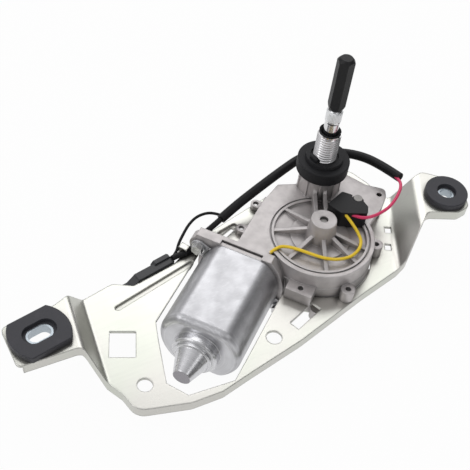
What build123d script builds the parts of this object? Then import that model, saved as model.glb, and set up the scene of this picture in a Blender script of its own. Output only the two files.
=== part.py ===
from build123d import *
from math import sin, cos, tan, pi, radians, degrees, dist, hypot, atan2, asin
import os

# Rear wiper motor on its stamped bracket, in millimetres.
# The origin is on the spindle's axis, in the plane where the rubber tower seal meets the panel.
# +Z runs along the spindle, away from the bracket, and +X runs from the left mount to the right mount.

# Levels
housing_top = -26.0
web_top = -45.5
ear_top = -32.5
motor_z = -49.5

# Bracket
plate_t = 1.8
flange_drop = 7.5
left_mount_x = -217.0
right_mount_x = 85.0
mount_y = -39.0
slot_turn = 11.0
left_fold_turn = -8.3
left_crest = (-194.3, -35.0)
left_run = 10.0
left_fold_r = 4.0
right_fold_turn = 151.0
right_crest = (68.5, -28.5)
right_run = 18.0
right_fold_r = 9.0
bead_w = 5.0
bead_d = 1.5
front_slot_size = (23.0, 7.0)
square_window_size = (16.0, 19.0)
opening_gap = 0.8

# Rubber mounts and their steel sleeves
mount_rise = 4.5
mount_under = 3.2
mount_lip = 4.0
rubber_wall = 1.2
right_mount_r = 15.25
right_bore_r = 4.4
sleeve_wall = 1.3
left_mount_r = 22.0
left_mount_length = 37.8
left_mount_w = 29.7
left_slot_w = 8.8
left_slot_length = 14.4
sleeve_drop = 3.0

# Gear housing
hub_x = -22.6
hub_y = -40.6
pan_draft = 0.3
roof_t = 2.8
side_wall = 2.1
hub_r = 8.5
hub_foot_r = 10.5
hub_top = -11.1
dimple_r = 2.8
dimple_d = 3.0
groove_r = 33.3
groove_w = 1.0
groove_d = 1.0
dish_d = 2.0
dome_r = 20.0
rib_w = 2.6
tower_r = 13.5
tower_foot_r = 14.6
tower_top = -9.5
boss_r = 4.6
boss_top = -36.5
boss_hole_r = 1.9
low_boss_r = 3.6
low_boss_h = 4.0
arm_t = 4.0
rib_rise = 4.5
rib_foot_rise = 6.0
tower_rib_rise = 6.5
tower_rib_side = 3.4
fin_count = 9
fin_out = 3.4
fin_w = 2.2
tunnel_depth = 18.0

# Screws and their heads
plate_screw_reach = 6.0
plate_screw_head_r = 2.9
plate_screw_head_h = 2.4
cover_screw_r = 1.6
cover_screw_head_r = 3.0
cover_screw_head_h = 1.8
contact_screw_r = 1.5
contact_screw_head_r = 3.0
contact_screw_head_h = 2.0
can_screw_r = 2.1
can_screw_head_r = 4.0
can_screw_head_h = 3.0
washer_r = 4.6
washer_t = 1.0

# Motor
motor_turn = 38.6
flange_face = 39.3
flange_t = 7.2
flange_r = 30.4
flange_ear_r = 7.4
flange_screw_r = 33.6
flange_screw_turn = 155.0
can_r = 27.6
can_flat = 22.3
can_corner_r = 8.0
can_length = 66.0
can_wall = 1.6
shoulder_r = 5.0
nose_r = 15.2
nose_ring = 6.5
nose_step_r = 12.8
nose_step = 2.0
cone_r = 11.2
cone_end_r = 5.8
cone_length = 15.0
shaft_r = 4.0
magnet_t = 5.5
magnet_length = 37.0
magnet_height = 36.0
air_gap = 0.6
core_length = 30.0
core_gap = 14.7
coil_end = 4.5
slot_count = 10
slot_inner_r = 8.5
commutator_r = 9.0
commutator_length = 8.0
brush_w = 5.0
brush_length = 6.0
spring_length = 4.4
spring_r = 2.2
spring_bore_r = 1.4
can_ear_r = 5.5
front_bush_from = 24.0
front_bush_length = 8.0
rear_bush_r = 8.0

# Leads and harness
lead_r = 1.1
tube_r = 3.3
tail_r = 2.0
loop_r = 1.0
lobe_r = 4.2

# Gears and linkage
tooth_module = 1.1
wheel_teeth = 60
wheel_t = 7.0
tunnel_wall = 2.0
worm_half = 13.0
worm_r = 6.2
worm_root_r = 4.8
axle_r = 4.0
crank_radius = 9.0
crank_pin_r = 3.0
link_module = 1.5
pinion_teeth = 12
half_sweep = 58.0
link_t = 3.6
link_w = 8.0
sector_root_r = 6.5
eye_wall = 2.6
rocker_t = 2.0
rocker_w = 11.0
ring_inset = 3.0
ring_t = 0.3
cover_t = 1.5

# Spindle
spindle_r = 5.0
thread_r = 8.0
shank_r = 7.8
sleeve_top = 24.0
knurl_r = 5.4
knurl_from = 33.0
knurl_to = 43.0
stud_r = 3.9
cap_from = 44.0
cap_to = 84.0
cap_flats = 10.3
cap_mouth = 4.0
cap_tip = 2.6
cap_roof = 12.0
lip_depth = 5.0
lip_rise = 1.2
seal_r = 17.9
collar_r = 13.0
collar_h = 3.0
bush_wall = 1.5
bush_length = 12.0

# Running clearance, play between moving neighbours, and the gap at the opened pivot
fit = 0.05
play = 0.4
open_pivot = 0.3

os.makedirs("parts", exist_ok=True)


def write(name, part):
    part.label = name
    export_step(part, f"parts/{name}.step")


def level(z):
    return Plane.XY.offset(z)


wheel_r = tooth_module * wheel_teeth / 2
wheel_tip_r = wheel_r + tooth_module
bay_r = wheel_tip_r + play
pan_r = bay_r + side_wall
pan_foot_r = pan_r + pan_draft
centre_distance = wheel_r + worm_r

# The motor's axis passes the wheel's axle at the centre distance and runs down the plan to the left.
along = Vector(-cos(radians(motor_turn)), -sin(radians(motor_turn)), 0)
across = Vector(sin(radians(motor_turn)), -cos(radians(motor_turn)), 0)
foot = Vector(hub_x, hub_y, motor_z) - across * centre_distance
motor = Plane(origin=foot, x_dir=across, z_dir=along)


def by_motor(s, n):
    p = foot + along * s + across * n
    return (p.X, p.Y)


hub = (hub_x, hub_y)
worm_tip_r = worm_r + tooth_module
pinion_r = link_module * pinion_teeth / 2
pinion_tip_r = pinion_r + link_module
rocker_length = 2 * pinion_r
hub_distance = hypot(hub_x, hub_y)
wheel_top = motor_z + wheel_t / 2
wheel_bottom = motor_z - wheel_t / 2
crank_boss_t = 2.0
link_top = wheel_bottom - crank_boss_t - open_pivot
link_bottom = link_top - link_t
rocker_top = link_bottom - play
rocker_bottom = rocker_top - rocker_t
cover_top = rocker_bottom - 2 * play
tower_foot = link_top + play
web_bottom = web_top - plate_t
roof_under = housing_top - roof_t

# The sector's pivot stands square to the line from the axle, so that the link pulls straight at mid stroke.
pivot_turn = degrees(atan2(-hub_y, -hub_x)) - degrees(asin(rocker_length / hub_distance))
link_reach = (hub_distance**2 - rocker_length**2) ** 0.5
pivot_x = hub_x + link_reach * cos(radians(pivot_turn))
pivot_y = hub_y + link_reach * sin(radians(pivot_turn))
pivot = (pivot_x, pivot_y)
crank_turn = pivot_turn + 90.0
crank_x = hub_x + crank_radius * cos(radians(crank_turn))
crank_y = hub_y + crank_radius * sin(radians(crank_turn))
crank = (crank_x, crank_y)

# Plan of the casting's deep part: the wheel pan, the tower, the linkage bay and the worm's tunnel
tunnel_half = worm_tip_r + play + tunnel_wall
tunnel_end = 26.0
bay_points = [(4.0, 14.5), (17.0, 10.5), (27.0, -1.0), (27.0, -18.0), (20.0, -34.0), (2.0, -52.0), (-22.0, -22.0)]
bridge_points = [(-26.0, 11.0), (-12.0, 5.0), (8.0, -10.0), (-8.0, -30.0), (-50.0, -30.0), (-45.0, 0.0)]
tunnel_points = [
    by_motor(flange_face - flange_t, -tunnel_half), by_motor(flange_face - flange_t, tunnel_half),
    by_motor(-tunnel_end, tunnel_half), by_motor(-tunnel_end, -tunnel_half),
]

with BuildSketch() as deep:
    with Locations(hub):
        Circle(pan_foot_r)
    Circle(tower_r)
    for points in (bay_points, bridge_points, tunnel_points):
        with BuildLine():
            Polyline(points, close=True)
        make_face()

# Where the casting is screwed to the bracket, and where its cover is screwed on
boss_reach = pan_foot_r + opening_gap + 2.9
front_boss_turn = -92.0
right_boss_turn = -22.0
low_boss_side = -tunnel_half - opening_gap - 3.4
low_boss_s = (6.0, -20.0)


def by_hub(reach, turn):
    return (hub_x + reach * cos(radians(turn)), hub_y + reach * sin(radians(turn)))


bosses = [by_hub(boss_reach, front_boss_turn), by_hub(boss_reach, right_boss_turn)]
low_bosses = [by_motor(s, low_boss_side) for s in low_boss_s]
arm_hole = (35.5, -24.8)
lug_hole = by_motor(40.5, 42.0)
cover_lugs = [
    *[by_hub(pan_foot_r + 2.4, turn) for turn in (-118, -38)], (0.0, 16.0), by_motor(-8.0, -tunnel_half - 2.0),
]
cover_lug_r = 4.2
cover_lug_h = 7.0
web_holes = [*bosses, *low_bosses, lug_hole, arm_hole]
screw_play = 0.3

# Mounting plate: the web, two raised ears on sloping gussets, and a turned-down edge
web_mid = web_top - plate_t / 2
ear_mid = ear_top - plate_t / 2
outline_points = [
    (-236.5, -55.3), (-236.5, -25.0), (-201.4, -21.2), (-191.6, -17.3), (-181.0, -15.2),
    (-158.8, -10.4), (-146.6, -17.5), (-141.5, -16.1), (-114.8, -10.9), (-96.0, 0.5),
    (-57.7, 11.4), (-32.0, 18.4), (-7.1, 23.1), (42.8, 20.2), (48.7, 3.1), (51.5, -17.0),
    (71.9, -14.5), (83.0, -12.8), (98.5, -27.0), (102.1, -38.0), (94.0, -55.1), (83.9, -56.8),
    (63.5, -47.5), (29.5, -73.6), (-12.4, -83.4), (-67.6, -98.6), (-109.4, -107.0),
    (-130.0, -111.5), (-150.5, -111.0), (-182.5, -102.5), (-185.2, -88.8), (-191.1, -76.5),
    (-197.0, -56.5),
]
outline_radii = [
    4, 4, 8, 4, 3,
    6, 3, 2, 12, 6,
    20, 20, 20, 8, 6, 6,
    8, 6, 8, 6, 5, 5,
    6, 8, 30, 40, 20,
    8, 14, 10, 5, 10,
    6,
]


def fold(crest, turn):
    x, z = cos(radians(turn)), sin(radians(turn))
    return Plane(origin=(*crest, 0), x_dir=(x, z, 0), z_dir=(z, -x, 0))


def fold_line(run, reach, z_ear, z_web):
    return [(-70, z_ear), (0, z_ear), (run, z_web), (reach, z_web)]


left_fold = fold(left_crest, left_fold_turn)
right_fold = fold(right_crest, right_fold_turn)
folds = ((left_fold, left_run, 150, left_fold_r), (right_fold, right_run, 170, right_fold_r))

with BuildSketch() as plan:
    with BuildLine():
        FilletPolyline(outline_points, radius=outline_radii, close=True)
    make_face()

# The turned-down edge runs along the front and round the backs of both ears.
with BuildSketch() as edge_band:
    add(plan.sketch)
    offset(plan.sketch, amount=-plate_t, mode=Mode.SUBTRACT)
    with BuildSketch(mode=Mode.PRIVATE) as zones:
        with Locations((-70.0, -90.0)):
            Rectangle(326, 88)
        with Locations((-208.0, -12.0)):
            Rectangle(50, 28)
        with Locations((76.0, -14.0)):
            Rectangle(44, 26)
    add(zones.sketch, mode=Mode.INTERSECT)

with BuildPart() as edge_flange:
    for plane, run, reach, radius in folds:
        with BuildSketch(plane):
            top_line = fold_line(run, reach, ear_top - plate_t / 2, web_top - plate_t / 2)
            low_line = [(x, z - flange_drop + plate_t / 2) for x, z in reversed(top_line)]
            with BuildLine():
                Polyline(top_line + low_line, close=True)
            make_face()
        extrude(amount=160, both=True)
    with BuildSketch(level(web_top - 30)):
        add(edge_band.sketch)
    extrude(amount=60, mode=Mode.INTERSECT)

opening_start = flange_face - flange_t - opening_gap
cutout_points = [
    by_motor(opening_start, -31.0), by_motor(flange_face + 62, -31.0), by_motor(flange_face + 72, -24.5),
    by_motor(flange_face + 99.5, -5.0), by_motor(flange_face + 101, 10.0), by_motor(flange_face + 79, 30.5),
    by_motor(flange_face + 4, 31.5), by_motor(flange_face + 4, 36.0), by_motor(opening_start, 36.0),
    by_motor(20.0, 20.0), by_motor(20.0, 0.0), by_motor(opening_start, 0.0),
]
# Beads pressed down into the web, each from end to end of its middle line
beads = (((-163.0, -29.7), (-104.0, -14.9)), ((-74.0, 1.0), (-62.0, 3.8)))
# Round holes in the web with their radii, and the slot and the square window with their turns
round_holes = (((-83.1, -89.7), 5.0), ((-170.9, -88.4), 4.7))
front_slot = Location((-56.2, -83.3, 0), (0, 0, 20.5))
square_window = Location((-171.4, -56.3, 0), (0, 0, -24))
# Window behind the motor's flange, and two small ones at the foot of the right slope
deck_window = ((16.0, -25.1), (4.5, -21.5), (4.6, -18.0), (16.0, -20.6))
relief_windows = ((36.4, -42.1), (27.4, -55.5))
relief_size = (4.4, 5.6)
# The tongue that holds the connector, and the hook that holds the harness, at the web's back edge
connector_turn = 11.5
connector_at = (-114.9, -7.6)
tongue_w = 4.0
tongue_reach = 6.2
tongue_back = 25.0
hook_at = (-104.5, -4.65)
hook_turn = 31.2
hook_w = 4.5
hook_out = 1.5
hook_rise = 6.2
hook_reach = 6.0


def beside(place, turn, x, y):
    c, n = cos(radians(turn)), sin(radians(turn))
    return (place[0] + x * c - y * n, place[1] + x * n + y * c)


def on_hook(y):
    return Location((*beside(hook_at, hook_turn, 0, y), 0), (0, 0, hook_turn))


tongue = Location((*beside(connector_at, connector_turn, -tongue_back, -2), 0), (0, 0, connector_turn))


def middle(a, b):
    turn = degrees(atan2(b[1] - a[1], b[0] - a[0]))
    return Location(((a[0] + b[0]) / 2, (a[1] + b[1]) / 2, 0), (0, 0, turn))


with BuildPart() as mounting_plate:
    for plane, run, reach, radius in folds:
        with BuildSketch(plane):
            with BuildLine():
                FilletPolyline(fold_line(run, reach, ear_mid, web_mid), radius=radius)
            trace(line_width=plate_t)
        extrude(amount=160, both=True)
    with BuildSketch(level(web_top - 30)):
        add(plan.sketch)
    extrude(amount=60, mode=Mode.INTERSECT)
    add(edge_flange.part)
    # Beads pressed down into the web
    for a, b in beads:
        with BuildSketch(level(web_bottom)):
            with Locations(middle(a, b)):
                SlotCenterToCenter(dist(a, b), bead_w)
        extrude(amount=-bead_d, taper=20)
        with BuildSketch(level(web_top)):
            with Locations(middle(a, b)):
                SlotCenterToCenter(dist(a, b), bead_w - 1)
        extrude(amount=-bead_d, taper=20, mode=Mode.SUBTRACT)
    # Tongue for the connector and hook for the harness
    with BuildSketch(level(web_bottom)):
        with Locations(tongue):
            Rectangle(tongue_w, tongue_reach)
        with Locations(on_hook((hook_out + plate_t - 0.8) / 2)):
            Rectangle(hook_w, hook_out + plate_t + 0.8)
    extrude(amount=plate_t)
    with BuildSketch(level(web_bottom)):
        with Locations(on_hook(hook_out + plate_t / 2)):
            Rectangle(hook_w, plate_t)
    extrude(amount=plate_t + hook_rise)
    with BuildSketch(level(web_top + hook_rise - plate_t)):
        with Locations(on_hook(hook_out + plate_t - hook_reach / 2)):
            Rectangle(hook_w, hook_reach)
    extrude(amount=plate_t)
    # Opening for the casting and the motor
    with BuildSketch(level(web_top - 25)) as opening:
        add(deep.sketch)
        offset(amount=opening_gap)
        with BuildLine():
            Polyline(cutout_points, close=True)
        make_face()
    extrude(amount=40, mode=Mode.SUBTRACT)
    # Holes and slots in the web
    with BuildSketch(level(web_top - 5)):
        for place, radius in round_holes:
            with Locations(place):
                Circle(radius)
        with Locations(front_slot):
            Rectangle(*front_slot_size)
        with Locations(square_window):
            Rectangle(*square_window_size)
        Polygon(*[by_motor(*corner) for corner in deck_window], align=None)
        for place in relief_windows:
            with Locations(Location((*place, 0), (0, 0, right_fold_turn - 180))):
                Rectangle(*relief_size)
        with Locations(*web_holes):
            Circle(boss_hole_r + screw_play)
    extrude(amount=10, mode=Mode.SUBTRACT)
    # Mount holes in the ears
    with BuildSketch(level(ear_top - 10)):
        with Locations((right_mount_x, mount_y)):
            Circle(right_mount_r - mount_lip)
        with Locations(Location((left_mount_x, mount_y, 0), (0, 0, slot_turn))):
            SlotOverall(left_mount_length - 2 * mount_lip, left_mount_w - 2 * mount_lip)
    extrude(amount=15, mode=Mode.SUBTRACT)
write("mounting_plate", mounting_plate.part)

# Rubber mounts: each is a spool that holds the ear in its waist, with a steel sleeve in its bore
right_mount = (right_mount_x, mount_y)
left_mount = Location((left_mount_x, mount_y, 0), (0, 0, slot_turn))
rubber_top = ear_top + mount_rise
rubber_bottom = ear_top - plate_t - mount_under
sleeve_r = right_bore_r + sleeve_wall
sleeve_slot = (left_slot_length + 2 * sleeve_wall, left_slot_w + 2 * sleeve_wall)

with BuildPart() as right_grommet:
    with BuildSketch(level(rubber_bottom)):
        with Locations(right_mount):
            Circle(right_mount_r - 1.5)
    extrude(amount=mount_under)
    with BuildSketch(level(rubber_bottom)):
        with Locations(right_mount):
            Circle(right_mount_r - mount_lip)
    extrude(amount=rubber_top - rubber_bottom)
    with BuildSketch(level(ear_top)):
        with Locations(right_mount):
            Circle(right_mount_r)
    extrude(amount=mount_rise)
    fillet(right_grommet.edges().filter_by(GeomType.CIRCLE).group_by(Axis.Z)[-1], radius=0.8)
    with BuildSketch(level(rubber_bottom)):
        with Locations(right_mount):
            Circle(sleeve_r)
    extrude(amount=rubber_top - rubber_bottom, mode=Mode.SUBTRACT)
    with BuildSketch(level(rubber_top - sleeve_drop)):
        with Locations(right_mount):
            Circle(sleeve_r + rubber_wall)
    extrude(amount=sleeve_drop, mode=Mode.SUBTRACT)
write("right_grommet", right_grommet.part)

with BuildPart() as right_sleeve:
    with BuildSketch(level(rubber_bottom)):
        with Locations(right_mount):
            Circle(sleeve_r)
            Circle(right_bore_r, mode=Mode.SUBTRACT)
    extrude(amount=rubber_top - sleeve_drop - rubber_bottom)
write("right_sleeve", right_sleeve.part)


def flatted(grow):
    """Two arcs closed by two flats, the plan of the slotted mount."""
    shift = left_mount_r - left_mount_length / 2
    with Locations((shift, 0)):
        Circle(left_mount_r + grow)
    with Locations((-shift, 0)):
        Circle(left_mount_r + grow, mode=Mode.INTERSECT)
    Rectangle(2 * left_mount_r, left_mount_w + 2 * grow, mode=Mode.INTERSECT)


def at_left_mount(z):
    return Plane(origin=(left_mount_x, mount_y, z), x_dir=(cos(radians(slot_turn)), sin(radians(slot_turn)), 0))


with BuildPart() as left_grommet:
    with BuildSketch(at_left_mount(rubber_bottom)):
        flatted(-3.5)
    extrude(amount=mount_under)
    with BuildSketch(at_left_mount(rubber_bottom)):
        SlotOverall(left_mount_length - 2 * mount_lip, left_mount_w - 2 * mount_lip)
    extrude(amount=rubber_top - rubber_bottom)
    with BuildSketch(at_left_mount(ear_top)):
        flatted(0)
    extrude(amount=mount_rise)
    fillet(left_grommet.faces().sort_by(Axis.Z)[-1].outer_wire().edges(), radius=0.8)
    with BuildSketch(at_left_mount(rubber_bottom)):
        SlotOverall(*sleeve_slot)
    extrude(amount=rubber_top - rubber_bottom, mode=Mode.SUBTRACT)
    with BuildSketch(at_left_mount(rubber_top - sleeve_drop)):
        SlotOverall(sleeve_slot[0] + 4 * rubber_wall, sleeve_slot[1] + 2 * rubber_wall)
    extrude(amount=sleeve_drop, mode=Mode.SUBTRACT)
write("left_grommet", left_grommet.part)

with BuildPart() as left_sleeve:
    with BuildSketch(at_left_mount(rubber_bottom)):
        SlotOverall(*sleeve_slot)
        SlotOverall(left_slot_length, left_slot_w, mode=Mode.SUBTRACT)
    extrude(amount=rubber_top - sleeve_drop - rubber_bottom)
write("left_sleeve", left_sleeve.part)

# Gear housing: a die-cast pan with a ribbed lid, the spindle's tower, the worm's tunnel and the motor's flange
deck_points = [
    (-26.0, 11.0), (-43.6, 1.1), by_motor(flange_face - flange_t + 0.5, -7.0),
    by_motor(flange_face - flange_t + 0.5, 14.3), by_motor(20.0, 24.0), (-30.0, -20.0), (-6.0, 4.0),
]
arm_points = [
    (9.0, 9.0), (25.2, 0.0), (32.0, -13.0), (42.5, -22.0), (38.8, -28.6), (29.4, -36.6), (12.0, -47.0), (-6.0, -20.0),
]
arm_radii = [2, 3, 4, 3.5, 3, 8, 2, 2]
rib_turns = (108.0, 148.6, 197.0, 246.0, 288.0, 314.0)
tower_rib_turn = 61.0
top_y = housing_top - motor_z
flange_ears = (flange_screw_turn, flange_screw_turn - 180.0)
contact_screw_at = (hub_x + 34.5, hub_y + 10.6)
brush_recess = 4.0
joint_s = flange_face - 3.9
joint_side = -2.0
joint_length = 29.0
joint_w = 1.1
joint_d = 2.4
brush_recess_r = can_flat - can_wall - 1.0


def polar(reach, turn):
    return (reach * cos(radians(turn)), reach * sin(radians(turn)))


def hub_plane(turn):
    x, y = cos(radians(turn)), sin(radians(turn))
    return Plane(origin=(*hub, 0), x_dir=(x, y, 0), z_dir=(y, -x, 0))


with BuildPart() as gear_housing:
    # Pan, tunnel, bay and deck
    with BuildSketch(level(cover_top)):
        add(deep.sketch)
    extrude(amount=boss_top - 1.5 - cover_top)
    with BuildSketch(level(cover_top)):
        with Locations(hub):
            Circle(pan_r)
    extrude(amount=housing_top - cover_top)
    for points in (bridge_points, deck_points):
        with BuildSketch(level(web_top)):
            with BuildLine():
                Polyline(points, close=True)
            make_face()
        extrude(amount=housing_top - web_top)
    with BuildSketch(level(housing_top - arm_t)):
        with BuildLine():
            FilletPolyline(arm_points, radius=arm_radii, close=True)
        make_face()
    extrude(amount=arm_t)
    # Tower with its draft
    with BuildSketch(level(cover_top)):
        Circle(tower_r)
    extrude(amount=tower_top - cover_top)
    with BuildSketch(level(housing_top)):
        Circle(tower_foot_r)
    with BuildSketch(level(tower_top)):
        Circle(tower_r)
    loft()
    # Screw bosses that stand on the web, and lugs for the cover
    with BuildSketch(level(web_top)):
        with Locations(*bosses):
            Circle(boss_r)
        with BuildLine():
            Polyline(by_motor(33, 33), by_motor(45, 33), by_motor(45, 51), by_motor(33, 51), close=True)
        make_face()
    extrude(amount=boss_top - web_top)
    with BuildSketch(level(web_top)):
        with Locations(*low_bosses):
            Circle(low_boss_r)
        for s in low_boss_s:
            with BuildLine():
                Polyline(
                    by_motor(s - low_boss_r, low_boss_side), by_motor(s + low_boss_r, low_boss_side),
                    by_motor(s + low_boss_r, -tunnel_half + 1), by_motor(s - low_boss_r, -tunnel_half + 1), close=True,
                )
            make_face()
    extrude(amount=low_boss_h)
    with BuildSketch(level(web_top)):
        with Locations(arm_hole):
            Circle(boss_r)
    extrude(amount=housing_top - arm_t - web_top)
    with BuildSketch(level(cover_top)):
        with Locations(*cover_lugs):
            Circle(cover_lug_r)
    extrude(amount=cover_lug_h)
    # Motor flange with two screw ears
    with BuildSketch(motor.offset(flange_face - flange_t)):
        Circle(flange_r)
        with Locations(*[polar(flange_screw_r, turn) for turn in flange_ears]):
            Circle(flange_ear_r)
        with BuildLine():
            Polyline((-33.5, top_y), (14.3, top_y), (20.0, 0.0), (-37.5, 11.0), close=True)
        make_face()
        with BuildLine():
            Polyline((34.5, -7.5), (25.5, -20.5), (0.0, -10.0), (10.0, 10.0), close=True)
        make_face()
        with Locations((0, (top_y - can_flat - 2.4) / 2)):
            Rectangle(4 * flange_r, top_y + can_flat + 2.4, mode=Mode.INTERSECT)
    extrude(amount=flange_t)
    # Wheel pan and linkage bay, open at the cover
    with BuildSketch(level(cover_top)):
        with Locations(hub):
            Circle(bay_r)
        with BuildLine():
            Polyline(bay_points, close=True)
        offset(make_face(mode=Mode.PRIVATE), amount=-side_wall, mode=Mode.ADD)
    extrude(amount=wheel_top + play - cover_top, mode=Mode.SUBTRACT)
    with BuildSketch(level(cover_top)):
        Circle(pinion_tip_r + play)
    extrude(amount=tower_foot - cover_top, mode=Mode.SUBTRACT)
    with BuildSketch(level(cover_top)):
        with Locations(hub):
            Circle(bay_r - side_wall)
    extrude(amount=roof_under - cover_top, mode=Mode.SUBTRACT)
    # Long boss round the spindle, and the boss that holds the wheel's axle
    with BuildSketch(level(tower_foot)):
        Circle(spindle_r + bush_wall + 4.0)
    extrude(amount=housing_top - tower_foot)
    with BuildSketch(level(wheel_top + play + 1)):
        with Locations(hub):
            Circle(axle_r + 3.5)
    extrude(amount=housing_top - wheel_top - play - 1)
    # Lid: hub, groove, dish and ribs
    with BuildSketch(level(housing_top - dish_d)):
        with Locations(hub):
            Circle(groove_r - 2.3)
            Circle(dome_r, mode=Mode.SUBTRACT)
    extrude(amount=dish_d, mode=Mode.SUBTRACT)
    with BuildSketch(level(housing_top - dish_d / 2)):
        with Locations(hub):
            Circle(dome_r)
    extrude(amount=dish_d, mode=Mode.SUBTRACT)
    with BuildSketch(level(housing_top - groove_d)):
        with Locations(hub):
            Circle(groove_r + groove_w / 2)
            Circle(groove_r - groove_w / 2, mode=Mode.SUBTRACT)
    extrude(amount=groove_d, mode=Mode.SUBTRACT)
    with BuildSketch(level(housing_top - dish_d)):
        with Locations(hub):
            Circle(hub_foot_r)
    with BuildSketch(level(hub_top)):
        with Locations(hub):
            Circle(hub_r)
    loft()
    for turn in rib_turns:
        with BuildSketch(hub_plane(turn)):
            with BuildLine():
                Polyline(
                    (hub_r - 2, housing_top - dish_d - 0.5), (groove_r - 2.0, housing_top - dish_d - 0.5),
                    (groove_r - 2.0, housing_top - 0.3), (hub_r + 4, housing_top + rib_rise),
                    (hub_r - 2, housing_top + rib_foot_rise), close=True,
                )
            make_face()
        extrude(amount=rib_w / 2, both=True)
    for side in (-tower_rib_side, tower_rib_side):
        with BuildSketch(hub_plane(tower_rib_turn).offset(side)):
            with BuildLine():
                Polyline(
                    (hub_r - 3, housing_top - dish_d - 0.5), (hub_distance - 9, housing_top - dish_d - 0.5),
                    (hub_distance - 9, tower_top - 2), (hub_distance - 15, housing_top + tower_rib_rise),
                    (hub_r - 3, housing_top + tower_rib_rise), close=True,
                )
            make_face()
        extrude(amount=rib_w / 2, both=True)
    # Fins round the tower
    with BuildSketch(level(housing_top)):
        with PolarLocations(tower_r, fin_count):
            Rectangle(fin_out, fin_w)
    extrude(amount=tower_top - housing_top - 2.5, taper=2)
    # Bores
    with BuildSketch(level(cover_top)):
        Circle(spindle_r + bush_wall)
    extrude(amount=tower_top - cover_top, mode=Mode.SUBTRACT)
    with BuildSketch(level(tower_top - 2 * bush_length)):
        Circle(shank_r)
    extrude(amount=2 * bush_length, mode=Mode.SUBTRACT)
    with BuildSketch(level(cover_top)):
        with Locations(hub):
            Circle(axle_r)
    extrude(amount=hub_top - dimple_d - cover_top, mode=Mode.SUBTRACT)
    with BuildSketch(level(hub_top - dimple_d)):
        with Locations(hub):
            Circle(dimple_r)
    extrude(amount=dimple_d, mode=Mode.SUBTRACT)
    with BuildSketch(motor.offset(-tunnel_depth)):
        Circle(worm_tip_r + play)
    extrude(amount=flange_face + tunnel_depth, mode=Mode.SUBTRACT)
    with BuildSketch(motor.offset(-tunnel_end + 1.5)):
        Circle(shaft_r + fit)
    extrude(amount=20, mode=Mode.SUBTRACT)
    with BuildSketch(motor.offset(flange_face - brush_recess)):
        Circle(brush_recess_r)
    extrude(amount=brush_recess, mode=Mode.SUBTRACT)
    # Joint line along the top of the flange
    with BuildSketch(motor.offset(joint_s)):
        with Locations((joint_side, top_y)):
            Rectangle(joint_length, 2 * joint_d)
    extrude(amount=joint_w, mode=Mode.SUBTRACT)
    with BuildSketch(motor.offset(joint_s)):
        with Locations((joint_side, top_y)):
            Rectangle(joint_length, 2 * (top_y - can_flat))
    extrude(amount=flange_face - joint_s, mode=Mode.SUBTRACT)
    # Screw holes
    with BuildSketch(level(web_top)):
        with Locations(*bosses, *low_bosses, lug_hole):
            Circle(boss_hole_r)
    extrude(amount=boss_top - web_top, mode=Mode.SUBTRACT)
    with BuildSketch(level(web_top)):
        with Locations(arm_hole):
            Circle(boss_hole_r)
    extrude(amount=housing_top - web_top, mode=Mode.SUBTRACT)
    with BuildSketch(level(housing_top - arm_t)):
        with Locations(contact_screw_at):
            Circle(contact_screw_r)
    extrude(amount=arm_t, mode=Mode.SUBTRACT)
    with BuildSketch(level(cover_top)):
        with Locations(*cover_lugs):
            Circle(cover_screw_r)
    extrude(amount=cover_lug_h - 1, mode=Mode.SUBTRACT)
    with BuildSketch(motor.offset(flange_face - flange_t)):
        with Locations(*[polar(flange_screw_r, turn) for turn in flange_ears]):
            Circle(can_screw_r)
    extrude(amount=flange_t, mode=Mode.SUBTRACT)
write("gear_housing", gear_housing.part)

# Cover under the casting, its screws, and the screws that hold the casting to the bracket
cover_bottom = cover_top - cover_t
notch_s = flange_face - flange_t - play
cover_notch = [
    by_motor(notch_s, -40), by_motor(notch_s, 38.6), by_motor(notch_s + 12, 38.6), by_motor(notch_s + 12, -40),
]
with BuildPart() as gear_cover:
    with BuildSketch(level(cover_bottom)):
        add(deep.sketch)
        Polygon(*cover_notch, align=None, mode=Mode.SUBTRACT)
        with Locations(*cover_lugs):
            Circle(cover_lug_r)
    extrude(amount=cover_t)
    with BuildSketch(level(cover_bottom)):
        with Locations(*cover_lugs):
            Circle(cover_screw_r + 0.2)
    extrude(amount=cover_t, mode=Mode.SUBTRACT)
write("gear_cover", gear_cover.part)

with BuildPart() as cover_screws:
    with BuildSketch(level(cover_bottom)):
        with Locations(*cover_lugs):
            Circle(cover_screw_r)
    extrude(amount=cover_t + cover_lug_h - 1.5)
    with BuildSketch(level(cover_bottom)):
        with Locations(*cover_lugs):
            Circle(cover_screw_head_r)
    extrude(amount=-cover_screw_head_h)
write("cover_screws", cover_screws.part)

with BuildPart() as plate_screws:
    with BuildSketch(level(web_bottom)):
        with Locations(*web_holes):
            Circle(boss_hole_r)
    extrude(amount=plate_t + low_boss_h - 1.5)
    with BuildSketch(level(web_bottom)):
        with Locations(*bosses, lug_hole, arm_hole):
            Circle(boss_hole_r)
    extrude(amount=plate_t + plate_screw_reach)
    with BuildSketch(level(web_bottom)):
        with Locations(*web_holes):
            Circle(plate_screw_head_r)
    extrude(amount=-plate_screw_head_h)
write("plate_screws", plate_screws.part)

# Wheel axle, pressed up into the hub, with its nose showing in the dimple
axle_top = hub_top - dimple_d
with BuildPart() as wheel_axle:
    with BuildSketch(level(wheel_bottom - 1.0)):
        with Locations(hub):
            Circle(axle_r)
    extrude(amount=axle_top - wheel_bottom + 1.0)
    with BuildSketch(level(axle_top)):
        with Locations(hub):
            Circle(dimple_r - 0.5)
    extrude(amount=1.2)
    with BuildSketch(level(wheel_bottom - 1.0)):
        with Locations(hub):
            Circle(axle_r + 2.0)
    extrude(amount=1.0 - fit)
write("wheel_axle", wheel_axle.part)


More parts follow.
